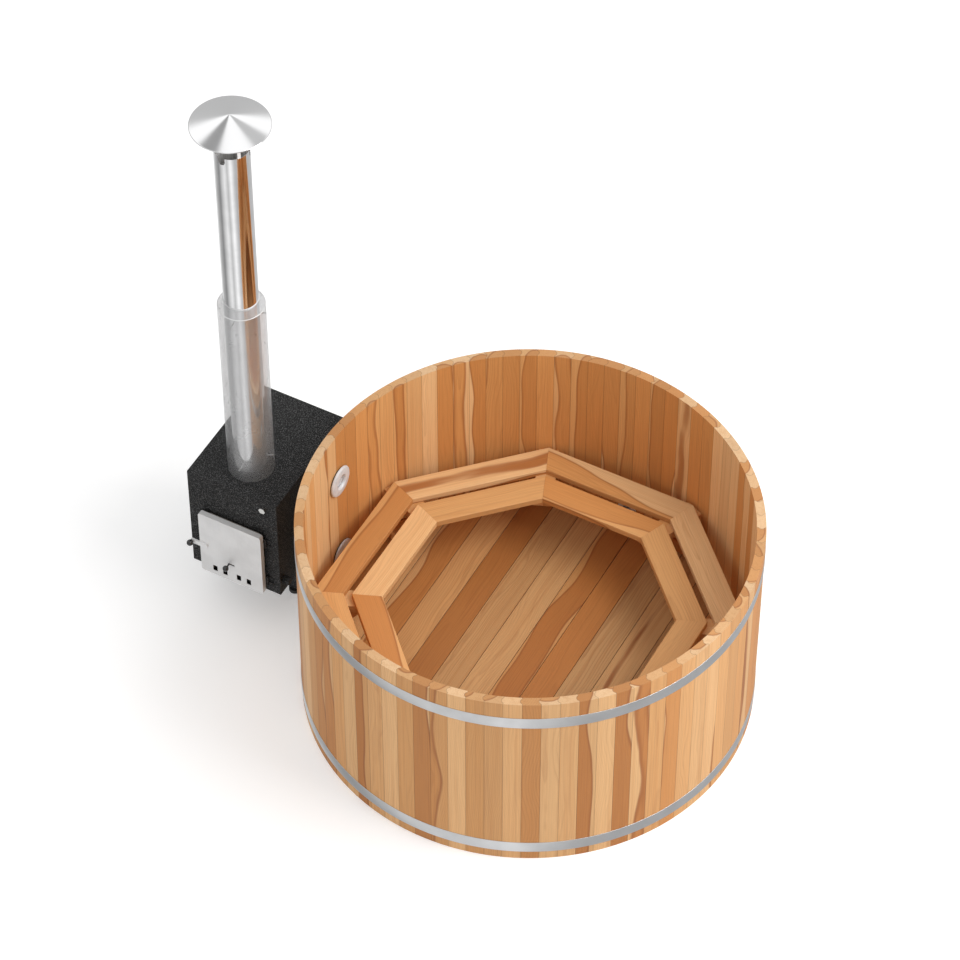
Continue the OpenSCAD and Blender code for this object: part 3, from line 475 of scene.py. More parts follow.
def stove_coat():
    """Heat-proof coat: black, with a fine sandy relief and lighter specks."""
    f = Finish("stove_coat", gloss=0.22)
    sand = f.noise(f.place, 265.0, 2.0, 0.6)
    grit = f.noise(f.place, 900.0, 1.0, 0.5)
    cloud = f.noise(f.place, 6.0, 3.0, 0.5)
    coat = list(settings("metal").coat)
    colour = f.mix(f.fade(cloud, 0.4, 0.75, 0.0, 0.5), coat, tone(16, 16, 16))
    colour = f.mix(f.fade(sand, 0.54, 0.63), colour, tone(93, 93, 93))
    f.set(base_color=colour, roughness=f.even(grit, 0.3, 0.7, 0.5, 0.72))
    f.bump(f.plus(sand, grit), 0.0006, 0.6)
    return f.material


def scaled_iron(name, dark, light, relief=0.0008):
    """Hot-rolled or cast iron with scale, soot and some rust."""
    f = Finish(name, metallic=0.4, gloss=0.4)
    patch = f.noise(f.place, 24.0, 5.0, 0.65)
    grit = f.noise(f.place, 500.0, 2.0, 0.6)
    colour = f.mix(f.fade(patch, 0.35, 0.7), dark, light)
    colour = f.mix(f.fade(patch, 0.62, 0.75, 0.0, 0.4), colour, tone(96, 62, 42))
    f.set(base_color=colour, roughness=f.even(patch, 0.3, 0.7, 0.55, 0.85))
    f.bump(f.plus(patch, f.times(grit, 0.4)), relief, 0.6)
    return f.material


def moulded(name, colour, roughness, relief=0.00012, coat=0.0, specks=0.05):
    """Moulded plastic, rubber or board: a soft orange-peel relief and faint handling marks."""
    f = Finish(name, gloss=0.5, coat_weight=coat, coat_roughness=0.12)
    peel = f.noise(f.place, 260.0, 2.0, 0.5)
    marks = f.noise(f.place, 34.0, 4.0, 0.6)
    dull = [n * (1 - specks * 3) for n in colour[:3]] + [1]
    f.set(base_color=f.mix(f.fade(marks, 0.4, 0.75), colour, dull),
          roughness=f.even(marks, 0.3, 0.7, roughness * 0.85, roughness * 1.2))
    f.bump(f.plus(peel, f.times(marks, 0.5)), relief, 0.5)
    return f.material


def guard_mesh():
    """Perforated steel: round holes in staggered rows, read from the piece's own UV map in metres.

    The rows lie half the root of 3 of a pitch apart, so that each hole has six neighbours at one
    pitch. A hole's radius in pitches follows from the share of the sheet that is holes.
    """
    f = Finish("guard_mesh", metallic=0.68, base_color=list(settings("metal").guard))
    step = 0.866  # half the root of 3
    u, v = f.split(f.add("ShaderNodeUVMap", uv_map="metres").outputs[0])[:2]
    pitch = settings("shape").hole_pitch
    row = f.over(v, pitch * step)
    odd = f.times(f.do("FLOORED_MODULO", f.do("FLOOR", row), 2.0), 0.5)
    du = f.minus(f.do("FRACT", f.plus(f.over(u, pitch), odd)), 0.5)
    dv = f.times(f.minus(f.do("FRACT", row), 0.5), step)
    hole = math.sqrt(settings("metal").mesh_open * step / math.pi)
    sheet = f.fade(f.reach(du, dv), hole - 0.015, hole + 0.015)
    cloud = f.noise(f.place, 12.0, 3.0, 0.5)
    f.set(alpha=sheet, roughness=f.even(cloud, 0.3, 0.7, 0.26, 0.36))
    return f.material


def flue_inside():
    """The flue's bore: bright bare steel at its mouth, and near black further down: soot, which is
    also painted shade deep in the bore.
    """
    f = Finish("flue_inside", metallic=0.3)
    z = f.split(f.place)[2]
    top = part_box("flue_pipe")[1][2]
    soot = f.noise(f.place, 60.0, 4.0, 0.6)
    # Near black below the mouth: soot, and painted shade where little light reaches down the bore
    mouth_clean_and_lit = f.fade(f.plus(z, f.times(soot, 0.02)), top - 0.20, top - 0.165)
    streak = f.noise(f.place, 1.0, 2.0, 0.5, (160, 160, 6))
    bare = f.mix(f.fade(streak, 0.35, 0.65), (0.66, 0.65, 0.64, 1), (0.95, 0.94, 0.93, 1))
    f.set(base_color=f.mix(mouth_clean_and_lit, tone(24, 22, 21), bare),
          roughness=f.even(soot, 0.3, 0.7, 0.35, 0.6))
    f.bump(soot, 0.0003, 0.3)
    return f.material


def cap_steel():
    """Spun steel: the scratches run round the cap's axis, so the light gathers in wedges."""
    f = Finish("cap_steel", metallic=1.0, anisotropic=0.5, base_color=list(settings("metal").cap))
    low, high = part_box("rain_cap")
    to_axis = (-(low[0] + high[0]) / 2, -(low[1] + high[1]) / 2, 0)
    x, y = f.split(f.move("ADD", f.place, to_axis))[:2]
    turn = f.times(f.do("ARCTAN2", y, x), 0.8)
    groove = f.noise(f.build(f.times(f.reach(x, y), 1400.0), turn, 0.0), 1.0, 2.0)
    f.set(tangent=f.move("NORMALIZE", f.build(x, y, 0.0)))
    f.set(roughness=f.even(groove, 0.2, 0.8, 0.13, 0.19))
    f.bump(groove, 0.00003, 0.15)
    return f.material


def rope_weave():
    """Woven glass rope: two sets of strands that cross at an angle, in the door's upright plane."""
    f = Finish("rope_weave", gloss=0.2, sheen_weight=0.4, roughness=0.92)
    place = f.split(f.place)
    u, v = f.times(place[0], 900.0), f.times(place[2], 900.0)
    weave = f.do("MAXIMUM", f.do("SINE", f.plus(u, v)), f.do("SINE", f.minus(u, v)))
    fuzz = f.noise(f.place, 600.0, 3.0, 0.7)
    colour = f.mix(f.fade(weave, -0.2, 1.0), tone(78, 74, 68), tone(150, 146, 138))
    f.set(base_color=f.move("SCALE", colour, scale=f.even(fuzz, 0.3, 0.7, 0.8, 1.1)))
    f.bump(f.plus(weave, fuzz), 0.0008, 0.7)
    return f.material


EVEN_GRAIN = (300, 300, 300)

STEELS = {
    "hoop_steel": dict(roughness=0.32, grain=(120, 120, 1600), colour=grey(0.77, 0.005)),
    "fastener_steel": dict(roughness=0.3, grain=EVEN_GRAIN),
    "pipe_steel": dict(roughness=0.22, grain=(30, 900, 900)),
    "flue_steel": dict(roughness=0.08, grain=(700, 700, 8), depth=0.00001,
                       smear=0.3, colour=grey(0.93, 0.005)),
    "rim_steel": dict(roughness=0.45, grain=EVEN_GRAIN, colour=grey(0.93), metallic=0.25),
    "pin_steel": dict(roughness=0.5, grain=EVEN_GRAIN, colour=grey(0.46), metallic=0.8),
    "door_steel": dict(roughness=0.40, grain=(1500, 1500, 14), colour=grey(0.82), metallic=0.28),
    "plug_steel": dict(roughness=0.2, grain=EVEN_GRAIN, colour=[0.8, 0.79, 0.76, 1]),
}
IRONS = {
    "scaled_steel": dict(dark=tone(48, 44, 42), light=tone(84, 78, 74)),
    "fire_iron": dict(dark=tone(36, 33, 31), light=tone(70, 64, 60), relief=0.0014),
}
MOULDED = {
    "white_plastic": dict(colour=tone(216, 219, 222), roughness=0.32, coat=0.2),
    "black_rubber": dict(colour=tone(34, 34, 34), roughness=0.7, relief=0.0003),
    "knob_black": dict(colour=tone(26, 26, 27), roughness=0.2, relief=0.00005, coat=0.6),
    "lever_red": dict(colour=tone(150, 34, 26), roughness=0.35, relief=0.0002, coat=0.3),
    "ceramic_board": dict(colour=tone(206, 199, 184), roughness=0.85, relief=0.0010, specks=0.08),
}
BENCHES = {
    "bench_outer": dict(first_number=OUTER_FIRST, middle=BENCH_OUTER_R),
    "bench_inner": dict(first_number=INNER_FIRST, middle=BENCH_INNER_R),
}
# Finishes with a maker of their own, and makers of several finishes
SINGLE = (stave_wood, floor_wood, frame_wood, cap_steel, guard_mesh, flue_inside, stove_coat,
          rope_weave)
SEVERAL = ((steel, STEELS), (scaled_iron, IRONS), (moulded, MOULDED), (bench_wood, BENCHES))
MAKERS = {maker.__name__: maker for maker in SINGLE}
for maker, looks in SEVERAL:
    MAKERS.update({name: functools.partial(maker, name, **look) for name, look in looks.items()})


@functools.cache
def finish(name):
    """The named material, made the first time that it is asked for."""
    return MAKERS[name]()


def dress(look, *nodes):
    """Gives CAD pieces a finish."""
    for node in nodes:
        materials = NODES[node].data.materials
        materials.clear()
        materials.append(finish(look))


# ---------------- surfaces

def grid_faces(rows, columns, close_rows, close_columns):
    """Quads between neighbouring points of a grid, which may join up with its own start.

    Quad (i, j) has the corners (i, j), (i + 1, j), (i + 1, j + 1) and (i, j + 1).
    """
    i = np.arange(rows if close_rows else rows - 1)[:, None]
    j = np.arange(columns if close_columns else columns - 1)[None, :]
    below, beside = (i + 1) % rows, (j + 1) % columns
    corners = [i * columns + j, below * columns + j, below * columns + beside, i * columns + beside]
    return np.stack(corners, -1).reshape(-1, 4)


def skin(name, parts, look, body, slot, stands_for=(), sharp=40):
    """Makes one piece from parts, each (grid of points, close rows, close columns, cap the ends).

    The grid's first index is the row. A capped end is closed by one flat face over the row of
    points there. UV map "metres" holds the lengths along both directions of the grid. Edges
    between faces that turn by more than sharp, in degrees, stay sharp.
    """
    points, faces, maps, start = [], [], [], 0
    for grid, close_rows, close_columns, capped in parts:
        rows, columns = grid.shape[:2]
        quads = grid_faces(rows, columns, close_rows, close_columns)
        steps = [np.linalg.norm(np.diff(grid, axis=axis, append=grid.take([0], axis)), axis=-1)
                 for axis in (0, 1)]
        v = np.concatenate([[0], np.cumsum(steps[0].max(1))])
        u = np.concatenate([[0], np.cumsum(steps[1].max(0))])
        row = quads[:, :1] // columns + [0, 1, 1, 0]
        column = quads[:, :1] % columns + [0, 0, 1, 1]
        maps.append(np.stack([u[column], v[row]], -1).reshape(-1, 2))
        faces += (quads + start).tolist()
        if capped:
            last = start + (rows - 1) * columns
            faces.append(list(range(start + columns - 1, start - 1, -1)))
            faces.append(list(range(last, last + columns)))
            maps += [grid[0, ::-1, :2], grid[-1, :, :2]]
        points.append(grid.reshape(-1, 3))
        start += rows * columns
    mesh = bpy.data.meshes.new(name)
    mesh.from_pydata(np.concatenate(points).tolist(), [], faces)
    layer = mesh.uv_layers.new(name="metres")
    layer.uv.foreach_set("vector", np.concatenate(maps).astype(np.float32).ravel())
    mesh.validate()
    mesh.update()
    cleaned(mesh, 1e-6)
    return placed(name, mesh, look, body, stands_for, sharp)


def cleaned(mesh, weld, flat=0.0):
    """Merges points closer than weld and turns all faces outwards.

    Faces between which the mesh turns by less than flat, in degrees, become one. Where flat is 0,
    only faces with no area go.
    """
    work = bmesh.new()
    work.from_mesh(mesh)
    bmesh.ops.remove_doubles(work, verts=work.verts, dist=weld)
    if flat:
        limit = math.radians(flat)
        bmesh.ops.dissolve_limit(work, angle_limit=limit, verts=work.verts, edges=work.edges)
    else:
        bmesh.ops.dissolve_degenerate(work, edges=work.edges, dist=weld / 10)
    bmesh.ops.recalc_face_normals(work, faces=work.faces)
    work.to_mesh(mesh)
    work.free()
    mesh.update()


def placed(name, mesh, look, body, stands_for, sharp):
    """A piece with a mesh, smooth but for its sharp edges, on a body and in place of CAD nodes."""
    mesh.materials.clear()
    mesh.materials.append(finish(look))
    mesh.shade_smooth()
    mesh.set_sharp_from_angle(angle=math.radians(sharp))
    piece = bpy.data.objects.new(name, mesh)
    bpy.context.scene.collection.objects.link(piece)
    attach(piece, body)
    if stands_for:
        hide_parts(*stands_for)
    return piece


def softened(node, look, width, segments=3, limit=35):
    """A copy of a CAD piece with its triangles joined and its edges eased by width.

    Edges count where the faces turn by more than limit, in degrees.
    """
    source = NODES[node]
    mesh = source.data.copy()
    mesh.name = node + "_eased"
    cleaned(mesh, 2e-6, 0.6)
    body = source.parent.name.removeprefix("body:")
    piece = placed(mesh.name, mesh, look, body, (node,), limit)
    bevel = piece.modifiers.new("eased", "BEVEL")
    bevel.width, bevel.segments, bevel.limit_method = width, segments, "ANGLE"
    bevel.angle_limit = math.radians(limit)
    bevel.harden_normals = True
    bevel.use_clamp_overlap = True


def frame_of(axis):
    """Two unit vectors square to an axis."""
    side = np.cross(axis, UP) if abs(axis[2]) < 0.9 else np.array([1.0, 0, 0])
    side /= np.linalg.norm(side)
    return side, np.cross(axis, side)


def spokes(angle):
    """Unit vectors in the level plane: (cos a_j, sin a_j, 0) for the angles a_j."""
    return np.stack([np.cos(angle), np.sin(angle), 0 * angle], -1)


def turned(profile, centre, axis=UP, steps=192):
    """A turned surface.

    Point (i, j) = centre + h_i * axis + r_i * (cos a_j * side + sin a_j * other), for profile
    points (r_i, h_i) and steps angles a_j round the axis. A radius of 0 makes a pole.
    """
    profile = np.asarray(profile, float)
    side, other = frame_of(axis)
    angle = np.linspace(0, TURN, steps, endpoint=False)[:, None]
    radius, height = profile[:, 0, None, None], profile[:, 1, None, None]
    outward = np.cos(angle) * side + np.sin(angle) * other
    return np.asarray(centre) + height * axis + radius * outward


def fillet(corners, radius, steps=5, closed=True):
    """Rounds a flat outline.

    A corner k becomes the curve (1 - t)^2 * a + 2 t (1 - t) * corner + t^2 * b, whose ends a and b
    lie radius_k away from it on the outline's sides, and no further than half a side.
    """
    corners = np.asarray(corners, float)
    count = len(corners)
    sizes = np.broadcast_to(radius, (count,))
    t = np.linspace(0, 1, steps)[:, None]
    out = []
    for k, here in enumerate(corners):
        if not closed and k in (0, count - 1) or sizes[k] <= 0:
            out.append(here[None])
            continue
        before, after = corners[k - 1] - here, corners[(k + 1) % count] - here
        a = here + before * min(sizes[k] / np.linalg.norm(before), 0.5)
        b = here + after * min(sizes[k] / np.linalg.norm(after), 0.5)
        out.append((1 - t) ** 2 * a + 2 * t * (1 - t) * here + t ** 2 * b)
    return np.concatenate(out)


def slotted_pipe(centre, outer, inner, bottom, top, middles, slot_width, slot_depth, steps=240):
    """A pipe with round-bottomed slots in its top end, whose middles are at the given angles.

    The height of the top edge is a function of the angle: the full height outside the slots, and
    inside them top - depth + h - root(h^2 - s^2), where s is the way along the wall from the
    slot's middle and h half the slot's width. Rows 1 to 9 climb the outer wall, and the rest come
    down the inner one.
    """
    half = slot_width / 2
    edge = half / outer
    beside, clear = 2e-5, 1e-3  # angles: just outside a slot's edge, and free of other points
    near = np.concatenate([np.linspace(-edge, edge, 13), [-edge - beside, edge + beside]])

    def past(angle):
        """The angle from each slot's middle, between minus and plus half a turn."""
        return (angle[:, None] - middles[None] + math.pi) % TURN - math.pi

    angle = np.linspace(0, TURN, steps, endpoint=False)
    angle = angle[(np.abs(past(angle)) > edge + clear).all(1)]
    angle = np.sort(np.concatenate([angle] + [(m + near) % TURN for m in middles]))
    away = past(angle) * outer
    nearest = np.take_along_axis(away, np.abs(away).argmin(1)[:, None], 1)[:, 0]
    foot = top - slot_depth + half - np.sqrt(np.clip(half ** 2 - nearest ** 2, 0, None))
    rim = np.where(np.abs(nearest) <= half + 1e-7, foot, top)
    rise = bottom + np.linspace(0, 1, 9)[:, None] * (rim - bottom)[None]
    wall = [spokes(angle)[None] * radius + UP * rise[..., None] for radius in (outer, inner)]
    return np.concatenate([wall[0], wall[1][::-1]]) + centre


# ---------------- pieces

HOOP_LUGS = math.radians(118)  # angle of the gap in the hoops
HOOP_R = 1.0001                # inner radius of the hoops
HOOP_ROUND = 0.0009            # rounding of their edges


class HOTTUB_OT_tub(bpy.types.Operator):
    """Gives the staves, floor and bench their wood"""
    bl_idname = "hot_tub.tub"
    bl_label = "Wood of the tub"

    def execute(self, context):
        edge = settings("shape").board_edge
        dress("stave_wood", "staves", "bored_staves")
        dress("floor_wood", "floor_boards")
        softened("bench_outer_boards", "bench_outer", edge)
        softened("bench_inner_boards", "bench_inner", edge)
        dress("frame_wood", "floor_bearers", "bench_bearers", "bench_braces", "bench_posts")
        return {"FINISHED"}


class HOTTUB_OT_hoops(bpy.types.Operator):
    """Bends the two steel hoops round the staves and finishes their lugs and bolts"""
    bl_idname = "hot_tub.hoops"
    bl_label = "Hoops"

    def execute(self, context):
        """Point (i, j) = x_j * (cos a_i, sin a_i, 0) + (y_j + base) * up, for a section (x, y)."""
        shape = settings("shape")
        low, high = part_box("hoops")
        width, outer = shape.hoop_width, HOOP_R + shape.hoop_gauge
        gap = shape.hoop_gap / HOOP_R
        section = fillet([(HOOP_R, 0), (outer, 0), (outer, width), (HOOP_R, width)], HOOP_ROUND, 4)
        angle = HOOP_LUGS + gap / 2 + np.linspace(0, TURN - gap, 361)
        bands = []
        for base in (low[2], high[2] - width):
            climb = UP * (section[None, :, 1:] + base)
            grid = spokes(angle)[:, None] * section[None, :, :1] + climb
            bands.append((grid, False, True, True))
        skin("hoop_bands", bands, "hoop_steel", "tub", "hoop_steel", ("hoops",))
        dress("hoop_steel", "hoop_lugs")
        dress("fastener_steel", "hoop_bolts", "bench_screws")
        return {"FINISHED"}


class HOTTUB_OT_stove(bpy.types.Operator):
    """Coats the stove's box, its stand and the parts inside it"""
    bl_idname = "hot_tub.stove"
    bl_label = "Stove"

    def execute(self, context):
        dress("stove_coat", "stove_casing", "stove_front", "stove_top", "stove_base", "stove_stand",
              "frame_hinges", "door_hinges", "hinge_pins", "latch_rest", "latch_tongue",
              "cock_boss", "pipe_bosses")
        dress("scaled_steel", "firebox", "firebox_roof", "grate_ledges", "flue_duct")
        dress("fire_iron", "fire_grate")
        dress("black_rubber", "stand_feet", "cock_knob")
        return {"FINISHED"}


class HOTTUB_OT_door(bpy.types.Operator):
    """Eases the edges of the stove's folded door and finishes its back, its latch and its air slide
    """
    bl_idname = "hot_tub.door"
    bl_label = "Stove door"

    def execute(self, context):
        softened("door_pan", "door_steel", settings("shape").door_edge)
        dress("door_steel", "latch_lever")
        dress("knob_black", "latch_ball", "air_knob")
        dress("plug_steel", "jacket_plug")
        dress("scaled_steel", "door_back", "slider_rails", "air_slider")
        dress("ceramic_board", "door_insulation")
        dress("rope_weave", "door_seal")
        return {"FINISHED"}


FLUE_R, FLUE_BORE = 0.075, 0.0738
SLOT_TURN = math.radians(26)      # angle of the first of the flue's three slots
BORE_CHECK = 0.0742               # faces whose middles lie inside this radius belong to the bore
GUARD_R, GUARD_NECK = 0.103, 0.0775
CAP_R = 0.168
CAP_HEM, CAP_BRIM = 0.003, 0.005  # heights of the hem's edge and of the brim, over the cap's foot


class HOTTUB_OT_flue(bpy.types.Operator):
    """Draws the flue pipe, its guard with the sloping collar, and the spun rain cap"""
    bl_idname = "hot_tub.flue"
    bl_label = "Flue"

    def execute(self, context):
        low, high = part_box("flue_pipe")
        self.centre = np.array([(low[0] + high[0]) / 2, (low[1] + high[1]) / 2, 0])
        self.draw_pipe(low[2], high[2])
        self.draw_guard()
        self.draw_cap()
        dress("rim_steel", "cap_legs")
        dress("pin_steel", "guard_spacers")
        return {"FINISHED"}

    def turn(self, profile):
        """One part for skin: an open surface turned round the flue's axis."""
        return turned(profile, self.centre), False, True, False

    def draw_pipe(self, bottom, top):
        """The slotted pipe, whose faces in the bore get their own finish."""
        shape = settings("shape")
        slots = SLOT_TURN + np.arange(3) * TURN / 3
        pipe = slotted_pipe(self.centre, FLUE_R, FLUE_BORE, bottom, top, slots, shape.slot_width,
                            shape.slot_depth)
        piece = skin("flue_pipe_drawn", [(pipe, True, True, False)], "flue_steel", "tub",
                     "flue_steel", ("flue_pipe",))
        faces = piece.data.polygons
        piece.data.materials.append(finish("flue_inside"))
        place = np.empty(len(faces) * 3, np.float32)
        faces.foreach_get("center", place)
        away = np.linalg.norm(place.reshape(-1, 3)[:, :2] - self.centre[:2], axis=1)
        faces.foreach_set("material_index", (away < BORE_CHECK).astype(np.int32))

    def draw_guard(self):
        """The perforated sleeve and collar are single sheets, and two beads rim the collar.

        A bead's section is a circle: (radius - bead + bead * cos a, height + bead * sin a).
        """
        look = ("guard_mesh", "tub", "guard_mesh")
        low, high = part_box("heat_guard")
        sleeve = self.turn([(GUARD_R, low[2]), (GUARD_R, high[2])])
        skin("guard_sleeve", [sleeve], *look, ("heat_guard",))
        low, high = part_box("guard_collar")
        cone = self.turn([(GUARD_R, low[2]), (GUARD_NECK, high[2])])
        skin("guard_cone", [cone], *look, ("guard_collar",))
        angle = np.linspace(0, TURN, 17)[:-1]
        beads = []
        # Outer radius of each bead, height of its middle and radius of its section
        for radius, height, bead in ((GUARD_R, low[2], 0.0018),
                                     (GUARD_NECK + 0.0002, high[2] - 0.0012, 0.0012)):
            ring = np.stack([radius - bead + bead * np.cos(angle),
                             height + bead * np.sin(angle)], -1)
            beads.append((turned(ring, self.centre), True, True, False))
        skin("guard_rims", beads, "rim_steel", "tub", "guard_mesh")

    def draw_cap(self):
        """A shallow cone of sheet.

        The profile's upper side is (1 - s) * tip + s * brim for shares s from 0 to 1. Then comes
        the hem, and the lower side goes back to the axis a sheet's thickness further in.
        """
        low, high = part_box("rain_cap")
        sheet = settings("shape").cap_gauge
        hem, brim, top = low[2] + CAP_HEM, low[2] + CAP_BRIM, high[2]
        share = np.array([0.0, 0.012, 0.04, 0.3, 0.6, 0.9, 0.97])[:, None]
        above = (1 - share) * [0, top] + share * [CAP_R, brim + sheet]
        below = ((1 - share) * [0, top - sheet] + share * [CAP_R - sheet, brim])[::-1]
        corners = [above[-1], (CAP_R, brim + sheet), (CAP_R, hem), (CAP_R - sheet, hem),
                   (CAP_R - sheet, brim), below[0]]
        edge = fillet(corners, [0, 0.0025, 0.0006, 0.0006, 0.0015, 0], closed=False)
        outline = np.concatenate([above[:-1], edge, below[1:]])
        skin("cap_spun", [self.turn(outline)], "cap_steel", "tub", "cap_steel", ("rain_cap",), 30)


FLANGE_R, FLANGE_BORE = 0.075, 0.0303
# Half section of a wall flange: radius, height over the wall, and rounding of that corner
FLANGE = ((FLANGE_BORE, 0, 0), (FLANGE_R, 0, 0.001), (FLANGE_R, 0.006, 0.003),
          (0.070, 0.0105, 0.004), (0.0475, 0.013, 0.006), (0.0375, 0.013, 0.004),
          (FLANGE_BORE, 0.004, 0))


class HOTTUB_OT_fittings(bpy.types.Operator):
    """Moulds the white flanges inside the tub and finishes the pipes, gaskets and drain"""
    bl_idname = "hot_tub.fittings"
    bl_label = "Fittings"

    def execute(self, context):
        low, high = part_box("wall_flanges")
        profile = np.array(FLANGE)
        outline = fillet(profile[:, :2], profile[:, 2], 6)
        discs = []
        for z in (low[2] + FLANGE_R, high[2] - FLANGE_R):
            disc = turned(outline, (low[0], (low[1] + high[1]) / 2, z), np.array([1.0, 0, 0]), 96)
            discs.append((disc, True, True, False))
        skin("flange_discs", discs, "white_plastic", "tub", "white_plastic", ("wall_flanges",), 50)
        dress("black_rubber", "inner_gaskets", "outer_gaskets", "drain_gaskets")
        dress("white_plastic", "flange_strainers", "pipe_nuts", "drain_flange", "drain_nut",
              "drain_valve")
        dress("pipe_steel", "water_pipes", "drain_ball")
        dress("lever_red", "drain_lever")
        return {"FINISHED"}


# ---------------- stage

GROUND_HALF, GROUND_HEIGHT = 30.0, -0.0005
GROUND_GLOW = 0.26  # light that only the camera, metal and glass see in the ground
LAMP_PLACE, LAMP_AIM, LAMP_SIZE = (4.6, 0.5, 6.4), (-0.3, 0, 0.6), 4.2
CAMERA_PLACE = (5.1746, -10.0128, 13.9572)
CAMERA_HEADING, CAMERA_DIP = math.radians(118.41), math.radians(-48.32)

# What metal sees round it, as (place from 0 to 1, brightness). Below the horizon and between the
# panels the place goes round the horizon, from +X through +Y.
BELOW = ((0.0, 0.50), (0.16, 0.52), (0.33, 0.60), (0.40, 0.78), (0.43, 0.80), (0.472, 0.50),
         (0.534, 0.36), (0.559, 0.27), (0.582, 0.33), (0.62, 0.58), (0.68, 0.90), (0.70, 0.84),
         (0.74, 0.58), (0.797, 1.08), (0.813, 1.0), (0.845, 0.71), (0.877, 0.52), (0.92, 0.50))
BETWEEN = ((0.0, 0.60), (0.22, 0.64), (0.30, 0.64), (0.42, 0.38), (0.55, 0.38), (0.80, 0.60))
# Above the horizon the place goes from the panels' middle, 0, to a quarter turn away from it, 1
PANELS = ((0.0, 1.28), (0.59, 1.28), (0.68, 0.62), (0.90, 0.58), (1.0, 0.50))
PANEL_GAP = ((0.183, 0.0), (0.228, 1.0), (0.367, 1.0), (0.43, 0.0))
PANEL_TILT, PANEL_TOWARD = math.radians(5.8), math.radians(60)


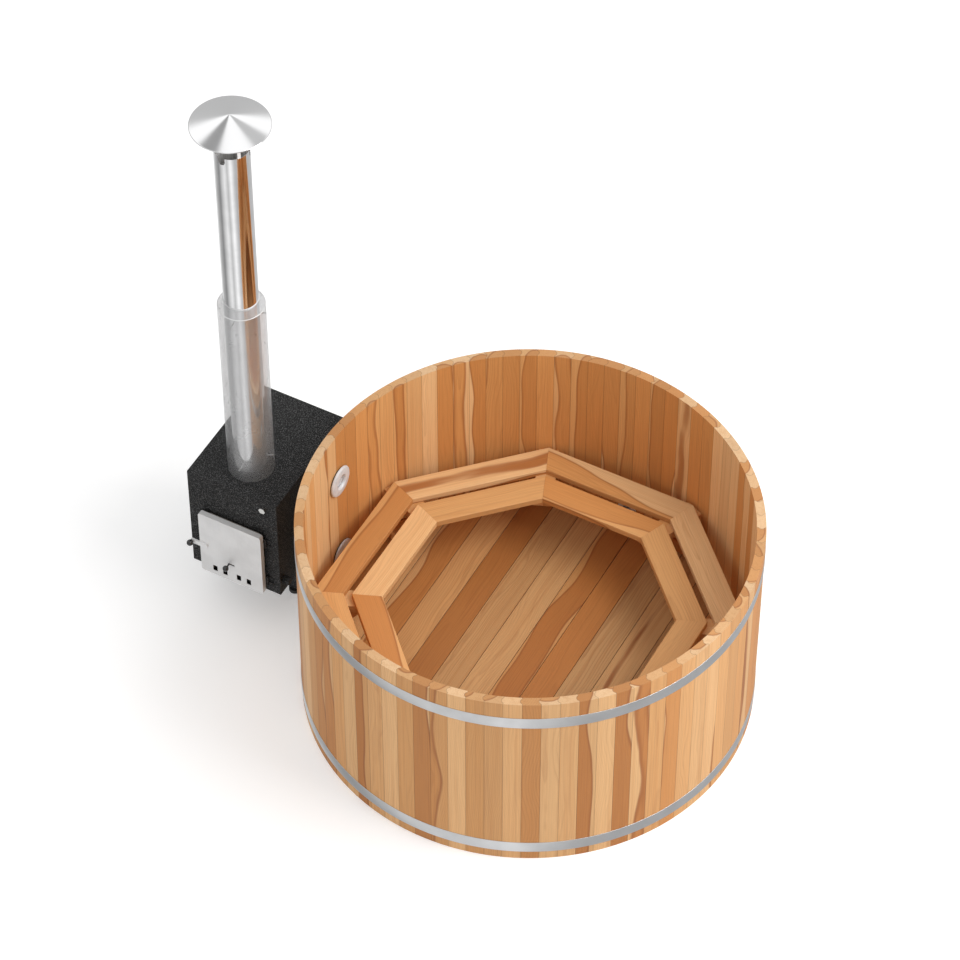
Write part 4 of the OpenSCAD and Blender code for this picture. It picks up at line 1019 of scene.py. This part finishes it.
class HOTTUB_OT_stage(bpy.types.Operator):
    """Sets the pale floor, the light and the camera of the photograph"""
    bl_idname = "hot_tub.stage"
    bl_label = "Stage"

    def execute(self, context):
        scene = context.scene
        scene.view_settings.view_transform = "Standard"
        self.ground()
        self.sky(settings("stage").sky)
        self.lamp(settings("stage").key)
        scene.camera = self.camera(settings("stage").lens)
        return {"FINISHED"}

    def ground(self):
        """A white ground that keeps the object's shadow and looks as pale as the backdrop."""
        mesh = bpy.data.meshes.new("floor")
        far = GROUND_HALF
        mesh.from_pydata([(-far, -far, 0), (far, -far, 0), (far, far, 0), (-far, far, 0)], [],
                         [(0, 1, 2, 3)])
        floor = self.held("floor", mesh, (0, 0, GROUND_HEIGHT))
        floor.visible_glossy = False
        f = Finish("floor_white", base_color=grey(0.86), roughness=0.9, gloss=0.0)
        ray = f.add("ShaderNodeLightPath").outputs
        seen = f.do("MAXIMUM", ray["Is Camera Ray"],
                    f.do("MAXIMUM", ray["Is Glossy Ray"], ray["Is Transmission Ray"]))
        glow = f.add("ShaderNodeEmission",
                     {"Color": grey(1), "Strength": f.times(seen, GROUND_GLOW)})
        both = f.add("ShaderNodeAddShader", {0: f.shader.outputs[0], 1: glow.outputs[0]})
        f.join(both.outputs[0], f.out.inputs["Surface"])
        mesh.materials.append(f.material)

    def sky(self, strength):
        """A plain pale sky. Polished metal sees soft bands in it, as from panels in a studio."""
        world = bpy.data.worlds.new("studio")
        bpy.context.scene.world = world
        world.use_nodes = True
        f = Nodes(world.node_tree)
        x, y, z = f.split(f.add("ShaderNodeTexCoord").outputs["Generated"])
        turn = f.do("FRACT", f.over(f.do("ARCTAN2", y, x), TURN))
        below = f.ramp(turn, *BELOW)
        centre = (math.sin(PANEL_TILT) * math.cos(PANEL_TOWARD),
                  math.sin(PANEL_TILT) * math.sin(PANEL_TOWARD), math.cos(PANEL_TILT))
        nearness = f.move("DOT_PRODUCT", f.build(x, y, z), centre)
        away = f.over(f.do("ARCCOSINE", nearness), math.pi / 2)
        panels, between = f.ramp(away, *PANELS), f.ramp(turn, *BETWEEN)
        above = f.mix(f.ramp(away, *PANEL_GAP), panels, between)
        bands = f.mix(f.fade(z, -0.05, 0.05), below, above)
        ray = f.add("ShaderNodeLightPath").outputs
        plain = f.mix(ray["Is Camera Ray"], grey(strength), grey(1))
        back = f.add("ShaderNodeBackground", {"Color": f.mix(ray["Is Glossy Ray"], plain, bands)})
        f.add("ShaderNodeOutputWorld", {"Surface": back.outputs[0]})

    def lamp(self, power):
        """A large square lamp that looks at the middle of the object."""
        light = bpy.data.lights.new("key", "AREA")
        light.size, light.energy = LAMP_SIZE, power
        holder = self.held("key", light, LAMP_PLACE)
        self.aim(holder, Vector(LAMP_AIM) - Vector(LAMP_PLACE))

    def camera(self, lens):
        """The photograph's camera, whose heading goes round from +X and whose dip is from level."""
        camera = bpy.data.cameras.new("photo_camera")
        camera.lens, camera.sensor_width, camera.clip_end = lens, 36, 100
        holder = self.held("photo_camera", camera, CAMERA_PLACE)
        level = math.cos(CAMERA_DIP)
        self.aim(holder, Vector((math.cos(CAMERA_HEADING) * level,
                                 math.sin(CAMERA_HEADING) * level, math.sin(CAMERA_DIP))))
        return holder

    def held(self, name, data, place):
        """An object at a place."""
        holder = bpy.data.objects.new(name, data)
        holder.location = place
        bpy.context.scene.collection.objects.link(holder)
        return holder

    def aim(self, holder, ahead):
        """Turns a lamp or a camera to look along ahead."""
        holder.rotation_euler = ahead.to_track_quat("-Z", "Y").to_euler()


# ---------------- add-on

class HOTTUB_PT_panel(bpy.types.Panel):
    """Lists the settings and the pieces of the hot tub"""
    bl_idname = "HOTTUB_PT_panel"
    bl_label = "Hot tub"
    bl_space_type = "VIEW_3D"
    bl_region_type = "UI"
    bl_category = "Hot tub"

    def draw(self, context):
        for name, kind in SETTINGS.items():
            for key in kind.__annotations__:
                self.layout.prop(settings(name), key)
        for operator in OPERATORS:
            self.layout.operator(operator.bl_idname)


OPERATORS = (HOTTUB_OT_stage, HOTTUB_OT_tub, HOTTUB_OT_hoops, HOTTUB_OT_stove, HOTTUB_OT_door,
             HOTTUB_OT_flue, HOTTUB_OT_fittings)
SETTINGS = {"timber": TimberSettings, "metal": MetalSettings, "shape": ShapeSettings,
            "stage": StageSettings}
CLASSES = (*SETTINGS.values(), *OPERATORS, HOTTUB_PT_panel)


def register():
    for kind in CLASSES:
        bpy.utils.register_class(kind)
    for name, kind in SETTINGS.items():
        setattr(bpy.types.Scene, "hot_tub_" + name, bpy.props.PointerProperty(type=kind))


def unregister():
    for name in SETTINGS:
        delattr(bpy.types.Scene, "hot_tub_" + name)
    for kind in reversed(CLASSES):
        bpy.utils.unregister_class(kind)


def main():
    """Makes all pieces."""
    register()
    for operator in OPERATORS:
        group, name = operator.bl_idname.split(".")
        if getattr(getattr(bpy.ops, group), name)() != {"FINISHED"}:
            raise RuntimeError(operator.bl_label + " wasn't finished")


if __name__ == "__main__":
    main()
